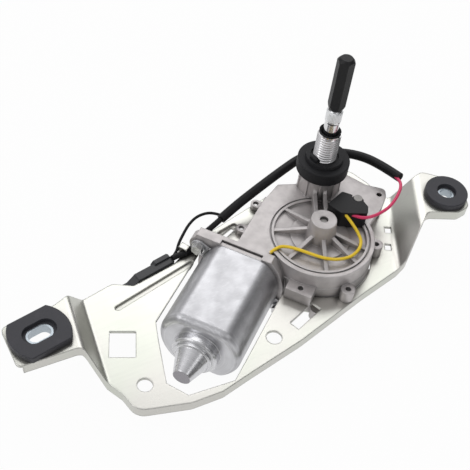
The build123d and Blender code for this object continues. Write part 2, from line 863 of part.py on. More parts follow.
def teeth(count, module, thin):
    """Plan of a spur gear's teeth and root, with flanks set back by the clearance."""
    pitch = module * count / 2
    half = pi / 4 * module - thin
    Circle(pitch - 1.25 * module)
    with PolarLocations(0, count):
        Polygon(
            (pitch - 1.4 * module, -1.25 * half), (pitch, -half), (pitch + module, -0.45 * half),
            (pitch + module, 0.45 * half), (pitch, half), (pitch - 1.4 * module, 1.25 * half), align=None,
        )


with BuildPart() as worm_wheel:
    with BuildSketch(Plane(origin=(*hub, wheel_bottom))):
        teeth(wheel_teeth, tooth_module, 0.1)
    extrude(amount=wheel_t)
    with BuildSketch(level(wheel_bottom + 2.5)):
        with Locations(hub):
            Circle(wheel_r - 6)
            Circle(axle_r + 9, mode=Mode.SUBTRACT)
    extrude(amount=wheel_t, mode=Mode.SUBTRACT)
    with BuildSketch(level(wheel_bottom + 1)):
        with Locations(hub):
            with PolarLocations((wheel_r + axle_r) / 2 + 2, 8):
                Rectangle(14, 2)
    extrude(amount=wheel_t - 2)
    with BuildSketch(level(wheel_bottom - crank_boss_t)):
        with Locations(crank):
            Circle(crank_pin_r + 2.5)
    extrude(amount=crank_boss_t + 3)
    with BuildSketch(level(wheel_bottom - 5)):
        with Locations(hub):
            Circle(axle_r + fit)
    extrude(amount=wheel_t + 10, mode=Mode.SUBTRACT)
    with BuildSketch(level(wheel_bottom - 1.0 - play)):
        with Locations(hub):
            Circle(axle_r + 2.0 + play)
    extrude(amount=1.0 + play, mode=Mode.SUBTRACT)
    with BuildSketch(level(wheel_bottom - crank_boss_t)):
        with Locations(crank):
            Circle(crank_pin_r)
    extrude(amount=crank_boss_t + 2, mode=Mode.SUBTRACT)
write("worm_wheel", worm_wheel.part)

with BuildPart() as crank_pin:
    with BuildSketch(level(wheel_bottom - crank_boss_t)):
        with Locations(crank):
            Circle(crank_pin_r)
    extrude(amount=crank_boss_t + 2)
write("crank_pin", crank_pin.part)

ring_r = axle_r + 8
with BuildPart() as contact_ring:
    with BuildSketch(level(wheel_top)):
        with Locations(hub):
            Circle(ring_r)
            Circle(ring_r - ring_inset, mode=Mode.SUBTRACT)
            with PolarLocations(ring_r - ring_inset / 2, 1):
                Rectangle(ring_inset + 1, ring_inset + 1, mode=Mode.SUBTRACT)
    extrude(amount=ring_t)
write("contact_ring", contact_ring.part)

# Linkage: the crank drives the sector link, the rocker keeps its teeth in the pinion
link_axis = degrees(atan2(pivot_y - crank_y, pivot_x - crank_x))
link_span = hypot(pivot_x - crank_x, pivot_y - crank_y)
back_turn = degrees(atan2(-pivot_y, -pivot_x))
half_pitch = 180.0 / pinion_teeth


def turned(place, z, turn):
    return Plane(origin=(*place, z), x_dir=(cos(radians(turn)), sin(radians(turn)), 0))


# Where the pinion stands beside the link at the end of the stroke, so that the link is waisted there
end_turn = radians(back_turn + half_sweep / 2 - link_axis)
waist = (link_span + rocker_length * cos(end_turn), rocker_length * sin(end_turn))
with BuildPart() as sector_link:
    with BuildSketch(turned(pivot, link_bottom, back_turn + half_pitch)):
        teeth(pinion_teeth, link_module, 0.25)
    extrude(amount=link_t)
    with BuildSketch(turned(pivot, link_bottom, back_turn)):
        with BuildLine():
            Polyline((-3.0, -1.5), (9.0, -14.0), (9.0, 14.0), (-3.0, 1.5), close=True)
        make_face()
        Circle(sector_root_r)
    extrude(amount=link_t, mode=Mode.INTERSECT)
    with BuildSketch(turned(pivot, link_bottom, back_turn)):
        Circle(sector_root_r)
    extrude(amount=link_t)
    with BuildSketch(turned(crank, link_bottom, link_axis)):
        with Locations((link_span / 2, 0)):
            SlotCenterToCenter(link_span, link_w)
        with Locations(waist):
            Circle(pinion_tip_r + play, mode=Mode.SUBTRACT)
        Circle(crank_pin_r + eye_wall)
    extrude(amount=link_t)
    with BuildSketch(level(link_bottom)):
        with Locations(crank):
            Circle(crank_pin_r + play)
        with Locations(pivot):
            Circle(crank_pin_r + fit)
    extrude(amount=link_t, mode=Mode.SUBTRACT)
write("sector_link", sector_link.part)

with BuildPart() as rocker_link:
    with BuildSketch(turned((0, 0), rocker_bottom, back_turn + 180)):
        with Locations((rocker_length / 2, 0)):
            SlotCenterToCenter(rocker_length, rocker_w)
        Circle(spindle_r + 3)
        Circle(spindle_r + fit, mode=Mode.SUBTRACT)
        with Locations((rocker_length, 0)):
            Circle(crank_pin_r, mode=Mode.SUBTRACT)
    extrude(amount=rocker_t)
write("rocker_link", rocker_link.part)

with BuildPart() as sector_pin:
    with BuildSketch(level(rocker_bottom)):
        with Locations(pivot):
            Circle(crank_pin_r)
    extrude(amount=link_top - rocker_bottom)
write("sector_pin", sector_pin.part)

# Spindle with its pinion, running in two bushes inside the threaded sleeve and the tower
with BuildPart() as spindle_pinion:
    with BuildSketch(turned((0, 0), link_bottom, back_turn + 180)):
        teeth(pinion_teeth, link_module, 0.25)
        Circle(spindle_r, mode=Mode.SUBTRACT)
    extrude(amount=link_t)
write("spindle_pinion", spindle_pinion.part)

stud_top = cap_to - cap_roof
with BuildPart() as spindle:
    with BuildSketch(Plane.XZ):
        with BuildLine():
            Polyline(
                (0, rocker_bottom), (spindle_r, rocker_bottom), (spindle_r, knurl_from), (knurl_r, knurl_from + 1.2),
                (knurl_r, knurl_to - 1.2), (stud_r + 0.6, knurl_to), (stud_r, knurl_to), (stud_r, stud_top - 1.0),
                (stud_r - 1.0, stud_top), (0, stud_top), close=True,
            )
        make_face()
    revolve(axis=Axis.Z)
write("spindle", spindle.part)

cap_corner_r = cap_flats / 2 / cos(radians(30))
with BuildPart() as spindle_cap:
    with BuildSketch(level(cap_from)):
        RegularPolygon(radius=cap_corner_r, side_count=6, rotation=11)
    extrude(amount=cap_to - cap_from)
    with BuildSketch(Plane.XZ):
        with BuildLine():
            Polyline(
                (0, cap_from), (stud_r + 0.6, cap_from), (cap_corner_r + 0.2, cap_from + cap_mouth),
                (cap_corner_r + 0.2, cap_to - cap_tip), (stud_r, cap_to), (0, cap_to), close=True,
            )
        make_face()
    revolve(axis=Axis.Z, mode=Mode.INTERSECT)
    with BuildSketch(level(cap_from)):
        Circle(stud_r + fit)
    extrude(amount=stud_top + 1.0 - cap_from, mode=Mode.SUBTRACT)
write("spindle_cap", spindle_cap.part)

sleeve_foot = tower_top - 2 * bush_length
bush_r = spindle_r + bush_wall
with BuildPart() as threaded_sleeve:
    with BuildSketch(level(sleeve_foot)):
        Circle(shank_r)
    extrude(amount=collar_h - sleeve_foot)
    with BuildSketch(level(collar_h)):
        Circle(thread_r)
    extrude(amount=sleeve_top - collar_h)
    top_edges = threaded_sleeve.edges().filter_by(GeomType.CIRCLE).group_by(Axis.Z)[-1]
    chamfer(top_edges.sort_by(SortBy.RADIUS)[-1], length=0.8)
    with BuildSketch(level(sleeve_foot)):
        Circle(bush_r)
    extrude(amount=sleeve_top - sleeve_foot, mode=Mode.SUBTRACT)
write("threaded_sleeve", threaded_sleeve.part)

for name, low in (("lower_bush", tower_foot), ("upper_bush", sleeve_top - lip_depth - bush_length)):
    with BuildPart() as bush:
        with BuildSketch(level(low)):
            Circle(bush_r)
            Circle(spindle_r + fit, mode=Mode.SUBTRACT)
        extrude(amount=bush_length)
    write(name, bush.part)

with BuildPart() as shaft_seal:
    with BuildSketch(level(sleeve_top - lip_depth)):
        Circle(bush_r)
        Circle(spindle_r + fit, mode=Mode.SUBTRACT)
    extrude(amount=lip_depth)
    with BuildSketch(level(sleeve_top)):
        Circle(bush_r + 0.5)
        Circle(spindle_r + play, mode=Mode.SUBTRACT)
    extrude(amount=lip_rise)
write("shaft_seal", shaft_seal.part)

with BuildPart() as tower_seal:
    with BuildSketch(level(tower_top)):
        Circle(seal_r)
    extrude(amount=-tower_top)
    fillet(tower_seal.edges().filter_by(GeomType.CIRCLE), radius=0.8)
    with BuildSketch(level(0)):
        Circle(collar_r)
    extrude(amount=collar_h, taper=6)
    with BuildSketch(level(collar_h)):
        Circle(thread_r + 1.6)
    extrude(amount=-1.5, mode=Mode.SUBTRACT)
    with BuildSketch(level(tower_top)):
        Circle(shank_r)
    extrude(amount=collar_h - tower_top, mode=Mode.SUBTRACT)
write("tower_seal", tower_seal.part)

# Motor: a flatted steel can drawn into a nose, with the field magnets and the armature inside
can_end = flange_face + can_length
nose_face = can_end + nose_ring
step_face = nose_face + nose_step
cone_end = step_face + cone_length
can_inner_r = can_r - can_wall
motor_side = Plane(origin=foot, x_dir=along, z_dir=-across)
motor_axis = Axis(foot, along)


def can_section(inset):
    """Plan of the can, a circle with two flats."""
    Circle(can_r - inset)
    Rectangle(2 * can_r, 2 * (can_flat - inset), mode=Mode.INTERSECT)
    rows = vertices().group_by(Axis.Y)
    fillet(rows[0] + rows[-1], radius=can_corner_r - inset)


with BuildPart() as can_hollow:
    with BuildSketch(motor.offset(flange_face)):
        can_section(can_wall)
    extrude(amount=can_length - can_wall)
    fillet(can_hollow.faces().sort_by(motor_axis)[-1].edges(), radius=shoulder_r - can_wall)
    with BuildSketch(motor_side):
        Polygon(
            (can_end - 5, 0), (can_end - 5, nose_r - can_wall), (nose_face - can_wall, nose_r - can_wall),
            (nose_face - can_wall, nose_step_r - can_wall), (step_face - can_wall, nose_step_r - can_wall),
            (step_face - can_wall, cone_r - can_wall), (cone_end - can_wall, cone_end_r - can_wall),
            (cone_end - can_wall, 0), align=None,
        )
    revolve(axis=motor_axis)

with BuildPart() as motor_can:
    with BuildSketch(motor.offset(flange_face)):
        can_section(0)
    extrude(amount=can_length)
    fillet(motor_can.faces().sort_by(motor_axis)[-1].edges(), radius=shoulder_r)
    with BuildSketch(motor_side):
        Polygon(
            (can_end - 3, 0), (can_end - 3, nose_r), (nose_face - 1, nose_r), (nose_face, nose_r - 1),
            (nose_face, nose_step_r), (step_face, nose_step_r), (step_face, cone_r), (cone_end, cone_end_r),
            (cone_end, 0), align=None,
        )
    revolve(axis=motor_axis)
    # Ears for the two screws
    with BuildSketch(motor.offset(flange_face)):
        with PolarLocations(flange_screw_r, 2, start_angle=flange_screw_turn):
            Circle(can_ear_r)
        with PolarLocations(flange_screw_r - 4, 2, start_angle=flange_screw_turn):
            Rectangle(8, 2 * can_ear_r)
        with PolarLocations(flange_screw_r, 2, start_angle=flange_screw_turn):
            Circle(can_screw_r, mode=Mode.SUBTRACT)
    extrude(amount=can_wall)
    add(can_hollow.part, mode=Mode.SUBTRACT)
write("motor_can", motor_can.part)

with BuildPart() as can_screws:
    with BuildSketch(motor.offset(flange_face - flange_t + 0.5)):
        with PolarLocations(flange_screw_r, 2, start_angle=flange_screw_turn):
            Circle(can_screw_r)
    extrude(amount=flange_t + can_wall - 0.5)
    with BuildSketch(motor.offset(flange_face + can_wall)):
        with PolarLocations(flange_screw_r, 2, start_angle=flange_screw_turn):
            Circle(washer_r)
    extrude(amount=washer_t)
    with BuildSketch(motor.offset(flange_face + can_wall + washer_t)):
        with PolarLocations(flange_screw_r, 2, start_angle=flange_screw_turn):
            RegularPolygon(radius=can_screw_head_r, side_count=6)
    extrude(amount=can_screw_head_h)
write("can_screws", can_screws.part)

core_from = flange_face + core_gap
core_to = core_from + core_length
core_r = can_inner_r - magnet_t - air_gap
with BuildPart() as magnets:
    with BuildSketch(motor.offset((core_from + core_to - magnet_length) / 2)):
        Circle(can_inner_r)
        Circle(can_inner_r - magnet_t, mode=Mode.SUBTRACT)
        Rectangle(2 * can_r, magnet_height, mode=Mode.INTERSECT)
    extrude(amount=magnet_length)
write("magnets", magnets.part)

with BuildPart() as armature_shaft:
    with BuildSketch(motor_side):
        Polygon(
            (-tunnel_end + 1.7, 0), (-tunnel_end + 1.7, shaft_r), (-worm_half, shaft_r), (-worm_half, worm_root_r),
            (worm_half, worm_root_r), (worm_half, shaft_r), (step_face, shaft_r), (step_face, 0), align=None,
        )
    revolve(axis=motor_axis)
write("armature_shaft", armature_shaft.part)

slot_points = [(slot_inner_r, -1.6), (core_r - 2.9, -3.3), (core_r - 2.9, 3.3), (slot_inner_r, 1.6)]
with BuildPart() as armature_core:
    with BuildSketch(motor.offset(core_from)):
        Circle(core_r)
        Circle(shaft_r, mode=Mode.SUBTRACT)
        with PolarLocations(0, slot_count):
            Polygon(*slot_points, align=None, mode=Mode.SUBTRACT)
        with PolarLocations(core_r - 1.5, slot_count):
            Rectangle(3.4, 1.8, mode=Mode.SUBTRACT)
    extrude(amount=core_length)
write("armature_core", armature_core.part)

with BuildPart() as windings:
    for s in (core_from - coil_end, core_to):
        with BuildSketch(motor.offset(s)):
            Circle(core_r - 2.5)
            Circle(slot_inner_r - 1.0, mode=Mode.SUBTRACT)
        extrude(amount=coil_end)
    with BuildSketch(motor.offset(core_from)):
        with PolarLocations(0, slot_count):
            Polygon(*slot_points, align=None)
    extrude(amount=core_length)
write("windings", windings.part)

commutator_from = core_from - coil_end - 1.0 - commutator_length
with BuildPart() as commutator:
    with BuildSketch(motor.offset(commutator_from)):
        Circle(commutator_r)
        Circle(shaft_r, mode=Mode.SUBTRACT)
        with PolarLocations(commutator_r, slot_count):
            Rectangle(1.6, 0.6, mode=Mode.SUBTRACT)
    extrude(amount=commutator_length)
write("commutator", commutator.part)

# Bushes at both ends of the armature, and the plug in the nose that takes its thrust
with BuildPart() as front_bush:
    with BuildSketch(motor.offset(front_bush_from)):
        Circle(worm_tip_r + play)
        Circle(shaft_r + fit, mode=Mode.SUBTRACT)
    extrude(amount=front_bush_length)
write("front_bush", front_bush.part)

bush_from = can_end - 1.0
bush_to = nose_face - can_wall
with BuildPart() as rear_bush:
    with BuildSketch(motor_side):
        Polygon(
            (bush_from, shaft_r + fit), (bush_from, rear_bush_r - 2), (bush_from + 2, rear_bush_r),
            (bush_to, rear_bush_r), (bush_to, shaft_r + fit), align=None,
        )
    revolve(axis=motor_axis)
write("rear_bush", rear_bush.part)

with BuildPart() as bush_clip:
    with BuildSketch(motor.offset(bush_to - 2.4)):
        Circle(nose_r - can_wall)
        Circle(rear_bush_r, mode=Mode.SUBTRACT)
    extrude(amount=2.4)
write("bush_clip", bush_clip.part)

plug_from = step_face + play
plug_to = cone_end - can_wall
cone_slope = (cone_r - cone_end_r) / cone_length
with BuildPart() as thrust_plug:
    with BuildSketch(motor_side):
        Polygon(
            (plug_from, 0), (plug_from, cone_end_r - can_wall + cone_slope * (plug_to - plug_from)),
            (plug_to, cone_end_r - can_wall), (plug_to, 0), align=None,
        )
    revolve(axis=motor_axis)
write("thrust_plug", thrust_plug.part)

# Brush gear in the flange's recess: a plate with two brush boxes, each with a brush and its spring
box_inner = commutator_r + 0.8
box_outer = commutator_r + fit + brush_length + spring_length
brush_s = commutator_from + commutator_length / 2
with BuildPart() as brush_holder:
    with BuildSketch(motor.offset(flange_face - brush_recess)):
        Circle(brush_recess_r)
        Circle(commutator_r + 1.5, mode=Mode.SUBTRACT)
    extrude(amount=brush_recess)
    with BuildSketch(motor.offset(flange_face)):
        for side in (-1, 1):
            with Locations((side * (box_inner + box_outer + 1.2) / 2, 0)):
                Rectangle(box_outer + 1.2 - box_inner, brush_w + 3)
    extrude(amount=brush_s + brush_w / 2 + 1.5 - flange_face)
    with BuildSketch(motor.offset(brush_s - brush_w / 2 - 0.1)):
        Rectangle(2 * box_outer, brush_w + 0.2)
    extrude(amount=brush_w + 0.2, mode=Mode.SUBTRACT)
write("brush_holder", brush_holder.part)

with BuildPart() as brushes:
    with BuildSketch(motor.offset(brush_s - brush_w / 2)):
        for side in (-1, 1):
            with Locations((side * (commutator_r + fit + brush_length / 2), 0)):
                Rectangle(brush_length, brush_w)
    extrude(amount=brush_w)
write("brushes", brushes.part)

with BuildPart() as brush_springs:
    for side in (-1, 1):
        reach = side * (commutator_r + fit + brush_length)
        with BuildSketch(Plane(origin=foot + along * brush_s + across * reach, x_dir=along, z_dir=across * side)):
            Circle(spring_r)
            Circle(spring_bore_r, mode=Mode.SUBTRACT)
        extrude(amount=spring_length)
write("brush_springs", brush_springs.part)

# Contact block on the lid, which both leads run into
block_points = [(11.6, 13.3), (26.9, 19.3), (31.3, 14.5), (35.6, 5.7), (35.7, 0.2), (31.9, -5.0), (15.7, 2.5)]
block_top = -14.0
lobe_top = -17.0
with BuildPart() as contact_block:
    with BuildSketch(Plane(origin=(*hub, housing_top - dish_d))):
        Polygon(*block_points, align=None)
    extrude(amount=block_top - housing_top + dish_d)
    fillet(contact_block.edges().filter_by(Axis.Z), radius=1.5)
    with BuildSketch(level(lobe_top)):
        with Locations(contact_screw_at):
            Circle(lobe_r)
    extrude(amount=block_top - lobe_top, mode=Mode.SUBTRACT)
    with BuildSketch(level(housing_top)):
        with Locations(contact_screw_at):
            Circle(lobe_r)
    extrude(amount=lobe_top - housing_top)
    add(gear_housing.part, mode=Mode.SUBTRACT)
    with BuildSketch(level(housing_top - dish_d)):
        with Locations(contact_screw_at):
            Circle(contact_screw_r)
    extrude(amount=20, mode=Mode.SUBTRACT)
write("contact_block", contact_block.part)

with BuildPart() as contact_screw:
    with BuildSketch(level(housing_top - arm_t + 0.5)):
        with Locations(contact_screw_at):
            Circle(contact_screw_r)
    extrude(amount=lobe_top - housing_top + arm_t - 0.5)
    with BuildSketch(level(lobe_top)):
        with Locations(contact_screw_at):
            Circle(contact_screw_head_r)
    extrude(amount=contact_screw_head_h)
write("contact_screw", contact_screw.part)

# Connector on the bracket's tongue, with its latch block, seen from the side as a stepped profile
connector_w = 6.0
connector_length = 44.0
connector_level = 28.0
connector_slope = 34.0
latch_length = 14.0
connector_front = -2.6
connector_top = web_top + 1.6
latch_rise = 1.2
latch_out = 1.6
connector_low = web_top - 8.5
connector_plane = Plane(
    origin=(*beside(connector_at, connector_turn, 0, connector_front + connector_w), 0),
    x_dir=(cos(radians(connector_turn)), sin(radians(connector_turn)), 0),
    z_dir=(sin(radians(connector_turn)), -cos(radians(connector_turn)), 0),
)
with BuildPart() as connector_body:
    with BuildSketch(connector_plane):
        Polygon(
            (0, connector_low), (0, connector_top), (-connector_level, connector_top),
            (-connector_level - 1, connector_top - 1), (-connector_slope, web_bottom - 1),
            (-connector_length, web_bottom - 1), (-connector_length, connector_low), align=None,
        )
    extrude(amount=connector_w)
    with BuildSketch(connector_plane.offset(-latch_out)):
        Polygon(
            (0, connector_low + 3), (0, connector_top), (-1.5, connector_top + latch_rise),
            (-latch_length + 2, connector_top + latch_rise), (-latch_length, connector_top - 1),
            (-latch_length, connector_low + 3), align=None,
        )
    extrude(amount=latch_out + 1.8)
    with BuildSketch(level(web_bottom - 0.1)):
        with Locations(tongue):
            Rectangle(tongue_w + 0.2, tongue_reach + 0.2)
    extrude(amount=plate_t + 0.2, mode=Mode.SUBTRACT)
write("connector_body", connector_body.part)


def run_arcs(points):
    """Radius at each corner of a cord's route, as large as the shorter of its two runs allows."""
    corners = zip(points, points[1:], points[2:])
    radii = []
    for a, b, c in corners:
        before, after = Vector(*b) - Vector(*a), Vector(*c) - Vector(*b)
        half_turn = radians(before.get_angle(after)) / 2
        radii.append(0.45 * min(before.length, after.length) / tan(half_turn))
    return radii


# Cords, each along a route of hand-set points
yellow_points = [
    (-3.9, -37.6, -15.8), (-2.0, -46.6, -19.0), (-0.9, -53.2, -22.4), (-1.8, -58.0, -23.6), (-6.1, -62.9, -24.0),
    (-13.0, -66.1, -24.0), (-19.3, -66.5, -24.0), (-26.7, -64.8, -23.7), (-33.5, -60.7, -23.2), (-38.9, -55.1, -23.0),
    (-44.6, -48.1, -23.2), (-49.8, -42.3, -24.0), (-55.6, -39.6, -24.6), (-62.5, -41.0, -27.5),
]
red_points = [
    (-0.9, -38.6, -16.6), (4.4, -45.5, -16.5), (10.2, -47.9, -15.5), (16.7, -48.3, -14.5), (24.9, -46.8, -14.0),
    (32.1, -43.4, -13.5), (38.7, -38.9, -13.0), (44.2, -34.0, -13.0), (47.4, -28.3, -13.4), (46.9, -23.0, -13.9),
]
tube_points = [
    (49.5, -25.4, -14.0), (45.5, -7.0, -16.0), (37.5, 9.3, -18.3), (21.0, 20.5, -19.5), (1.0, 24.2, -20.0),
    (-20.0, 18.3, -21.8), (-42.0, 13.3, -27.2), (-60.0, 9.4, -32.6), (-72.5, 5.4, -36.0),
]
tail_points = [
    (-72.5, 5.4, -36.0), (-79.4, 3.2, -37.9), (-90.9, 1.5, -43.5), (-99.2, -5.4, -43.5), (-105.5, -6.9, -43.5),
    (-110.6, -6.7, -43.5), (-114.9, -7.6, -43.5),
]
loop_points = [
    (-69.0, 5.2, -35.0), (-73.4, 10.6, -35.2), (-79.4, 14.0, -35.5), (-87.5, 13.6, -36.0), (-94.6, 10.1, -37.1),
    (-100.8, 5.2, -38.6), (-106.4, 0.6, -41.0), (-110.0, -3.6, -45.2), (-116.0, -5.8, -47.6),
]
cords = (
    ("yellow_lead", yellow_points, lead_r), ("red_lead", red_points, lead_r), ("harness_tube", tube_points, tube_r),
    ("harness_tail", tail_points, tail_r), ("loop_lead", loop_points, loop_r),
)
for name, points, radius in cords:
    with BuildPart() as cord:
        with BuildLine():
            route = FilletPolyline(points, radius=run_arcs(points))
        with BuildSketch(Plane(origin=points[0], z_dir=Vector(*points[1]) - Vector(*points[0]))):
            Circle(radius)
        sweep()
    write(name, cord.part)
    print(name, "length", round(route.length, 1), "section x length", round(pi * radius**2 * route.length),
          "volume", round(cord.part.volume), "radii", [round(r, 1) for r in run_arcs(points)])
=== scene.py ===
"""Dresses the rear wiper motor.

Finishes for its castings, sheet metal, rubber and wiring, the sleeve's thread, the seals, the leads, and a
plain white stage with its lamps and camera.
"""

from math import atan2, cos, radians, sin

import bpy
from mathutils import Matrix, Vector


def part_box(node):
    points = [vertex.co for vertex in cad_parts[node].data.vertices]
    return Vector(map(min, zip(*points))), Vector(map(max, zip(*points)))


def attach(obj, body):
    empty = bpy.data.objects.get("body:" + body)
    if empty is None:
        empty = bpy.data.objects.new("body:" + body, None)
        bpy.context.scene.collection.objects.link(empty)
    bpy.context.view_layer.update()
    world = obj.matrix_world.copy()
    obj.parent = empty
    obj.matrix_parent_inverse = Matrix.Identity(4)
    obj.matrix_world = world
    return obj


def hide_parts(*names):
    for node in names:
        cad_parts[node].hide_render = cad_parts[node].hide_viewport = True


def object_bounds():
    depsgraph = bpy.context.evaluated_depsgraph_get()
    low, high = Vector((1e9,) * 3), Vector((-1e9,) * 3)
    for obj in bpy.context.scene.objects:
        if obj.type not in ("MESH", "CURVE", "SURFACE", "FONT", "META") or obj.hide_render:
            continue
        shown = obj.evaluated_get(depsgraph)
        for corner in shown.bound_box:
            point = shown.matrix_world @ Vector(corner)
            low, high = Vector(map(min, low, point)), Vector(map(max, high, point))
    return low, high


bl_info = {
    "name": "Wiper Motor Dressing",
    "version": (1, 0, 0),
    "blender": (4, 5, 0),
    "location": "View3D > Sidebar > Wiper Motor",
    "description": "Finishes and small detail for a wiper motor on its bracket",
    "category": "Object",
}

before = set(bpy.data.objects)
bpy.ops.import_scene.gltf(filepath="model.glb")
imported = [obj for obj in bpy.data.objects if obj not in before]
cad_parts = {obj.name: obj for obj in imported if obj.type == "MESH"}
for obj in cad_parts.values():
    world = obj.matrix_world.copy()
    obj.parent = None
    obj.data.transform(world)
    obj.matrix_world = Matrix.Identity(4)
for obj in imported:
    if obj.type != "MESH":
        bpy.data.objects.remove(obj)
cad_box = [list(corner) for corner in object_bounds()]
MM = 0.001

# The motor's line in plan: the worm's middle, the way from there to the can, and that way's angle
MOTOR_FOOT = Vector((-47.06, -9.97, -49.5)) * MM
MOTOR_WAY = Vector((-0.7815, -0.6239, 0.0))
MOTOR_TURN = atan2(MOTOR_WAY.y, MOTOR_WAY.x)
# Along that line, where the can's drawn end starts, where its nose starts and where its tip is
DRAWN_FROM = 99.0 * MM
NOSE_FROM = 105.3 * MM
NOSE_TIP = 128.8 * MM

# The spindle's knurl: where it starts and ends below the cap's foot, in millimetres, and its grooves
KNURL_START = 1.2
KNURL_END = 8.5
KNURL_GROOVES = 36.0

# The threaded sleeve, in millimetres: its thread starts and its shank ends this far below the seal's face
THREAD_START = 1.2
SHANK_END = 1.0
# Its thread ends, and its plain mouth starts, this far below the sleeve's top
THREAD_END = 1.8
MOUTH_START = 2.4
# How far inside the thread's crest the shank and the mouth lie
SHANK_INSET = 0.2
MOUTH_INSET = 0.45
# The bore's tool sticks out this far at both ends
BORE_SPARE = 1.0
# One tooth of the thread from the side: share of its depth, share of its pitch
TOOTH = ((0.0, 0.0), (0.0, 0.12), (1.0, 0.46), (1.0, 0.58), (0.0, 0.92), (0.0, 1.0))
# Turns wound past each end of the thread before both ends are cut flat
SPARE_TURNS = 2
# Corners of the round pieces and steps in each turn of the thread, and how near two corners are when they are
# made one, in metres
ROUND_SIDES = 64
WELD = 0.000005

# The wiping seal from the side, in millimetres: out from the sleeve's bore and up from its mouth. Both its
# ends lie on the spindle's shank, which is this far inside the bore
SHANK_GAP = 1.45
LIP = (
    (-SHANK_GAP, -3.0), (-0.05, -3.0), (-0.05, 0.05), (0.75, 0.05), (0.9, 0.9), (0.6, 1.2), (0.1, 0.9),
    (-SHANK_GAP, -1.4),
)

# The tab that keys the panel seal to the thread, in millimetres: its size and rounding, how far out from the
# spindle's axis and up from the seal's face its middle is, and where it is round the axis
TAB_SIZE = Vector((2.4, 7.0, 3.0))
TAB_ROUNDING = 0.6
TAB_ROUNDING_STEPS = 3
TAB_OUT = 9.4
TAB_UP = 1.4
TAB_TURN = radians(-172.0)

# Routes of the leads, in millimetres
YELLOW_ROUTE = (
    (-3.9, -37.6, -15.8), (-2.0, -46.6, -19.0), (-0.9, -53.2, -22.4), (-1.8, -58.0, -23.6),
    (-6.1, -62.9, -24.0), (-13.0, -66.1, -24.0), (-19.3, -66.5, -24.0), (-26.7, -64.8, -23.7),
    (-33.5, -60.7, -23.2), (-38.9, -55.1, -23.0), (-44.6, -48.1, -23.2), (-49.8, -42.3, -24.0),
    (-55.6, -39.6, -24.6), (-62.5, -41.0, -27.5),
)
RED_ROUTE = (
    (-0.9, -38.6, -16.6), (4.4, -45.5, -16.5), (10.2, -47.9, -15.5), (16.7, -48.3, -14.5),
    (24.9, -46.8, -14.0), (32.1, -43.4, -13.5), (38.7, -38.9, -13.0), (44.2, -34.0, -13.0),
    (47.4, -28.3, -13.4), (46.9, -23.0, -13.9),
)
TUBE_ROUTE = (
    (49.5, -25.4, -14.0), (45.5, -7.0, -16.0), (37.5, 9.3, -18.3), (21.0, 20.5, -19.5),
    (1.0, 24.2, -20.0), (-20.0, 18.3, -21.8), (-42.0, 13.3, -27.2), (-60.0, 9.4, -32.6),
    (-72.5, 5.4, -36.0),
)
TAIL_ROUTE = (
    (-72.5, 5.4, -36.0), (-79.4, 3.2, -37.9), (-90.9, 1.5, -43.5), (-99.2, -5.4, -43.5),
    (-105.5, -6.9, -43.5), (-110.6, -6.7, -43.5), (-114.9, -7.6, -43.5),
)
LOOP_ROUTE = (
    (-69.0, 5.2, -35.0), (-73.4, 10.6, -35.2), (-79.4, 14.0, -35.5), (-87.5, 13.6, -36.0),
    (-94.6, 10.1, -37.1), (-100.8, 5.2, -38.6), (-106.4, 0.6, -41.0), (-110.0, -3.6, -45.2),
    (-116.0, -5.8, -47.6),
)
# Radii of the black ones, in millimetres
TUBE_RADIUS = 3.3
TAIL_RADIUS = 2.0
LOOP_RADIUS = 1.0
# How finely each lead is drawn along its line and round it
LEAD_STEPS = 12
LEAD_CORNERS = 6

# The floor: its width and how far it lies below the object, in metres, its finish, and how white the camera
# and reflections see it
FLOOR_WIDTH = 6.0
FLOOR_GAP = 0.0002
FLOOR_COLOUR = (0.80, 0.80, 0.80)
FLOOR_ROUGHNESS = 0.9
FLOOR_FOR_CAMERA = 0.96
FLOOR_FOR_GLOSS = 0.85
# The surroundings: how bright they are from below to overhead, and the share of that which is left from the
# bright side round to the dim one
SKY_LEVELS = ((0.0, 0.46), (0.45, 0.60), (0.85, 1.0))
SKY_BLUE = 1.01
BRIGHT_SIDE = (-0.7, 0.7, 0.0)
SIDE_SHARE = {"From Min": -0.8, "From Max": 0.7, "To Min": 0.32, "To Max": 0.95}
# The lamps: name, place and width in metres, and power. All aim at one point and are lower than they are wide
LAMPS = (
    ("back_lamp", (0.42, 0.80, 0.95), 1.1, 4.4),
    ("left_lamp", (-1.10, 0.10, 0.75), 0.8, 2.6),
    ("front_lamp", (0.20, -1.20, 0.90), 0.7, 1.6),
)
LAMP_AIM = Vector((-0.06, -0.01, -0.04))
LAMP_HEIGHT_SHARE = 0.7
# The camera: where it is round and above its target, its roll, its target, its distance and nearest sight in
# metres, its sensor's width, and its focal length and picture's width in pixels, which give its lens
CAMERA_ROUND = radians(-34.24)
CAMERA_ABOVE = radians(47.78)
CAMERA_ROLL = radians(8.44)
CAMERA_TARGET = Vector((-64.43, -2.37, -47.83)) * MM
CAMERA_DISTANCE = 0.6432
CAMERA_NEAREST = 0.01
SENSOR_WIDTH = 36.0
FOCAL_PIXELS = 936.32
PICTURE_PIXELS = 470.0

# Edges sharper than this, in degrees, stay sharp where a piece is shaded smoothly
SHARP_METAL = 35.0
SHARP_MOULDING = 25.0
SHARP_THREAD = 30.0
SHARP_SEAL = 40.0

# Colour of bright turned and ground steel
BRIGHT_STEEL = (0.70, 0.70, 0.71)


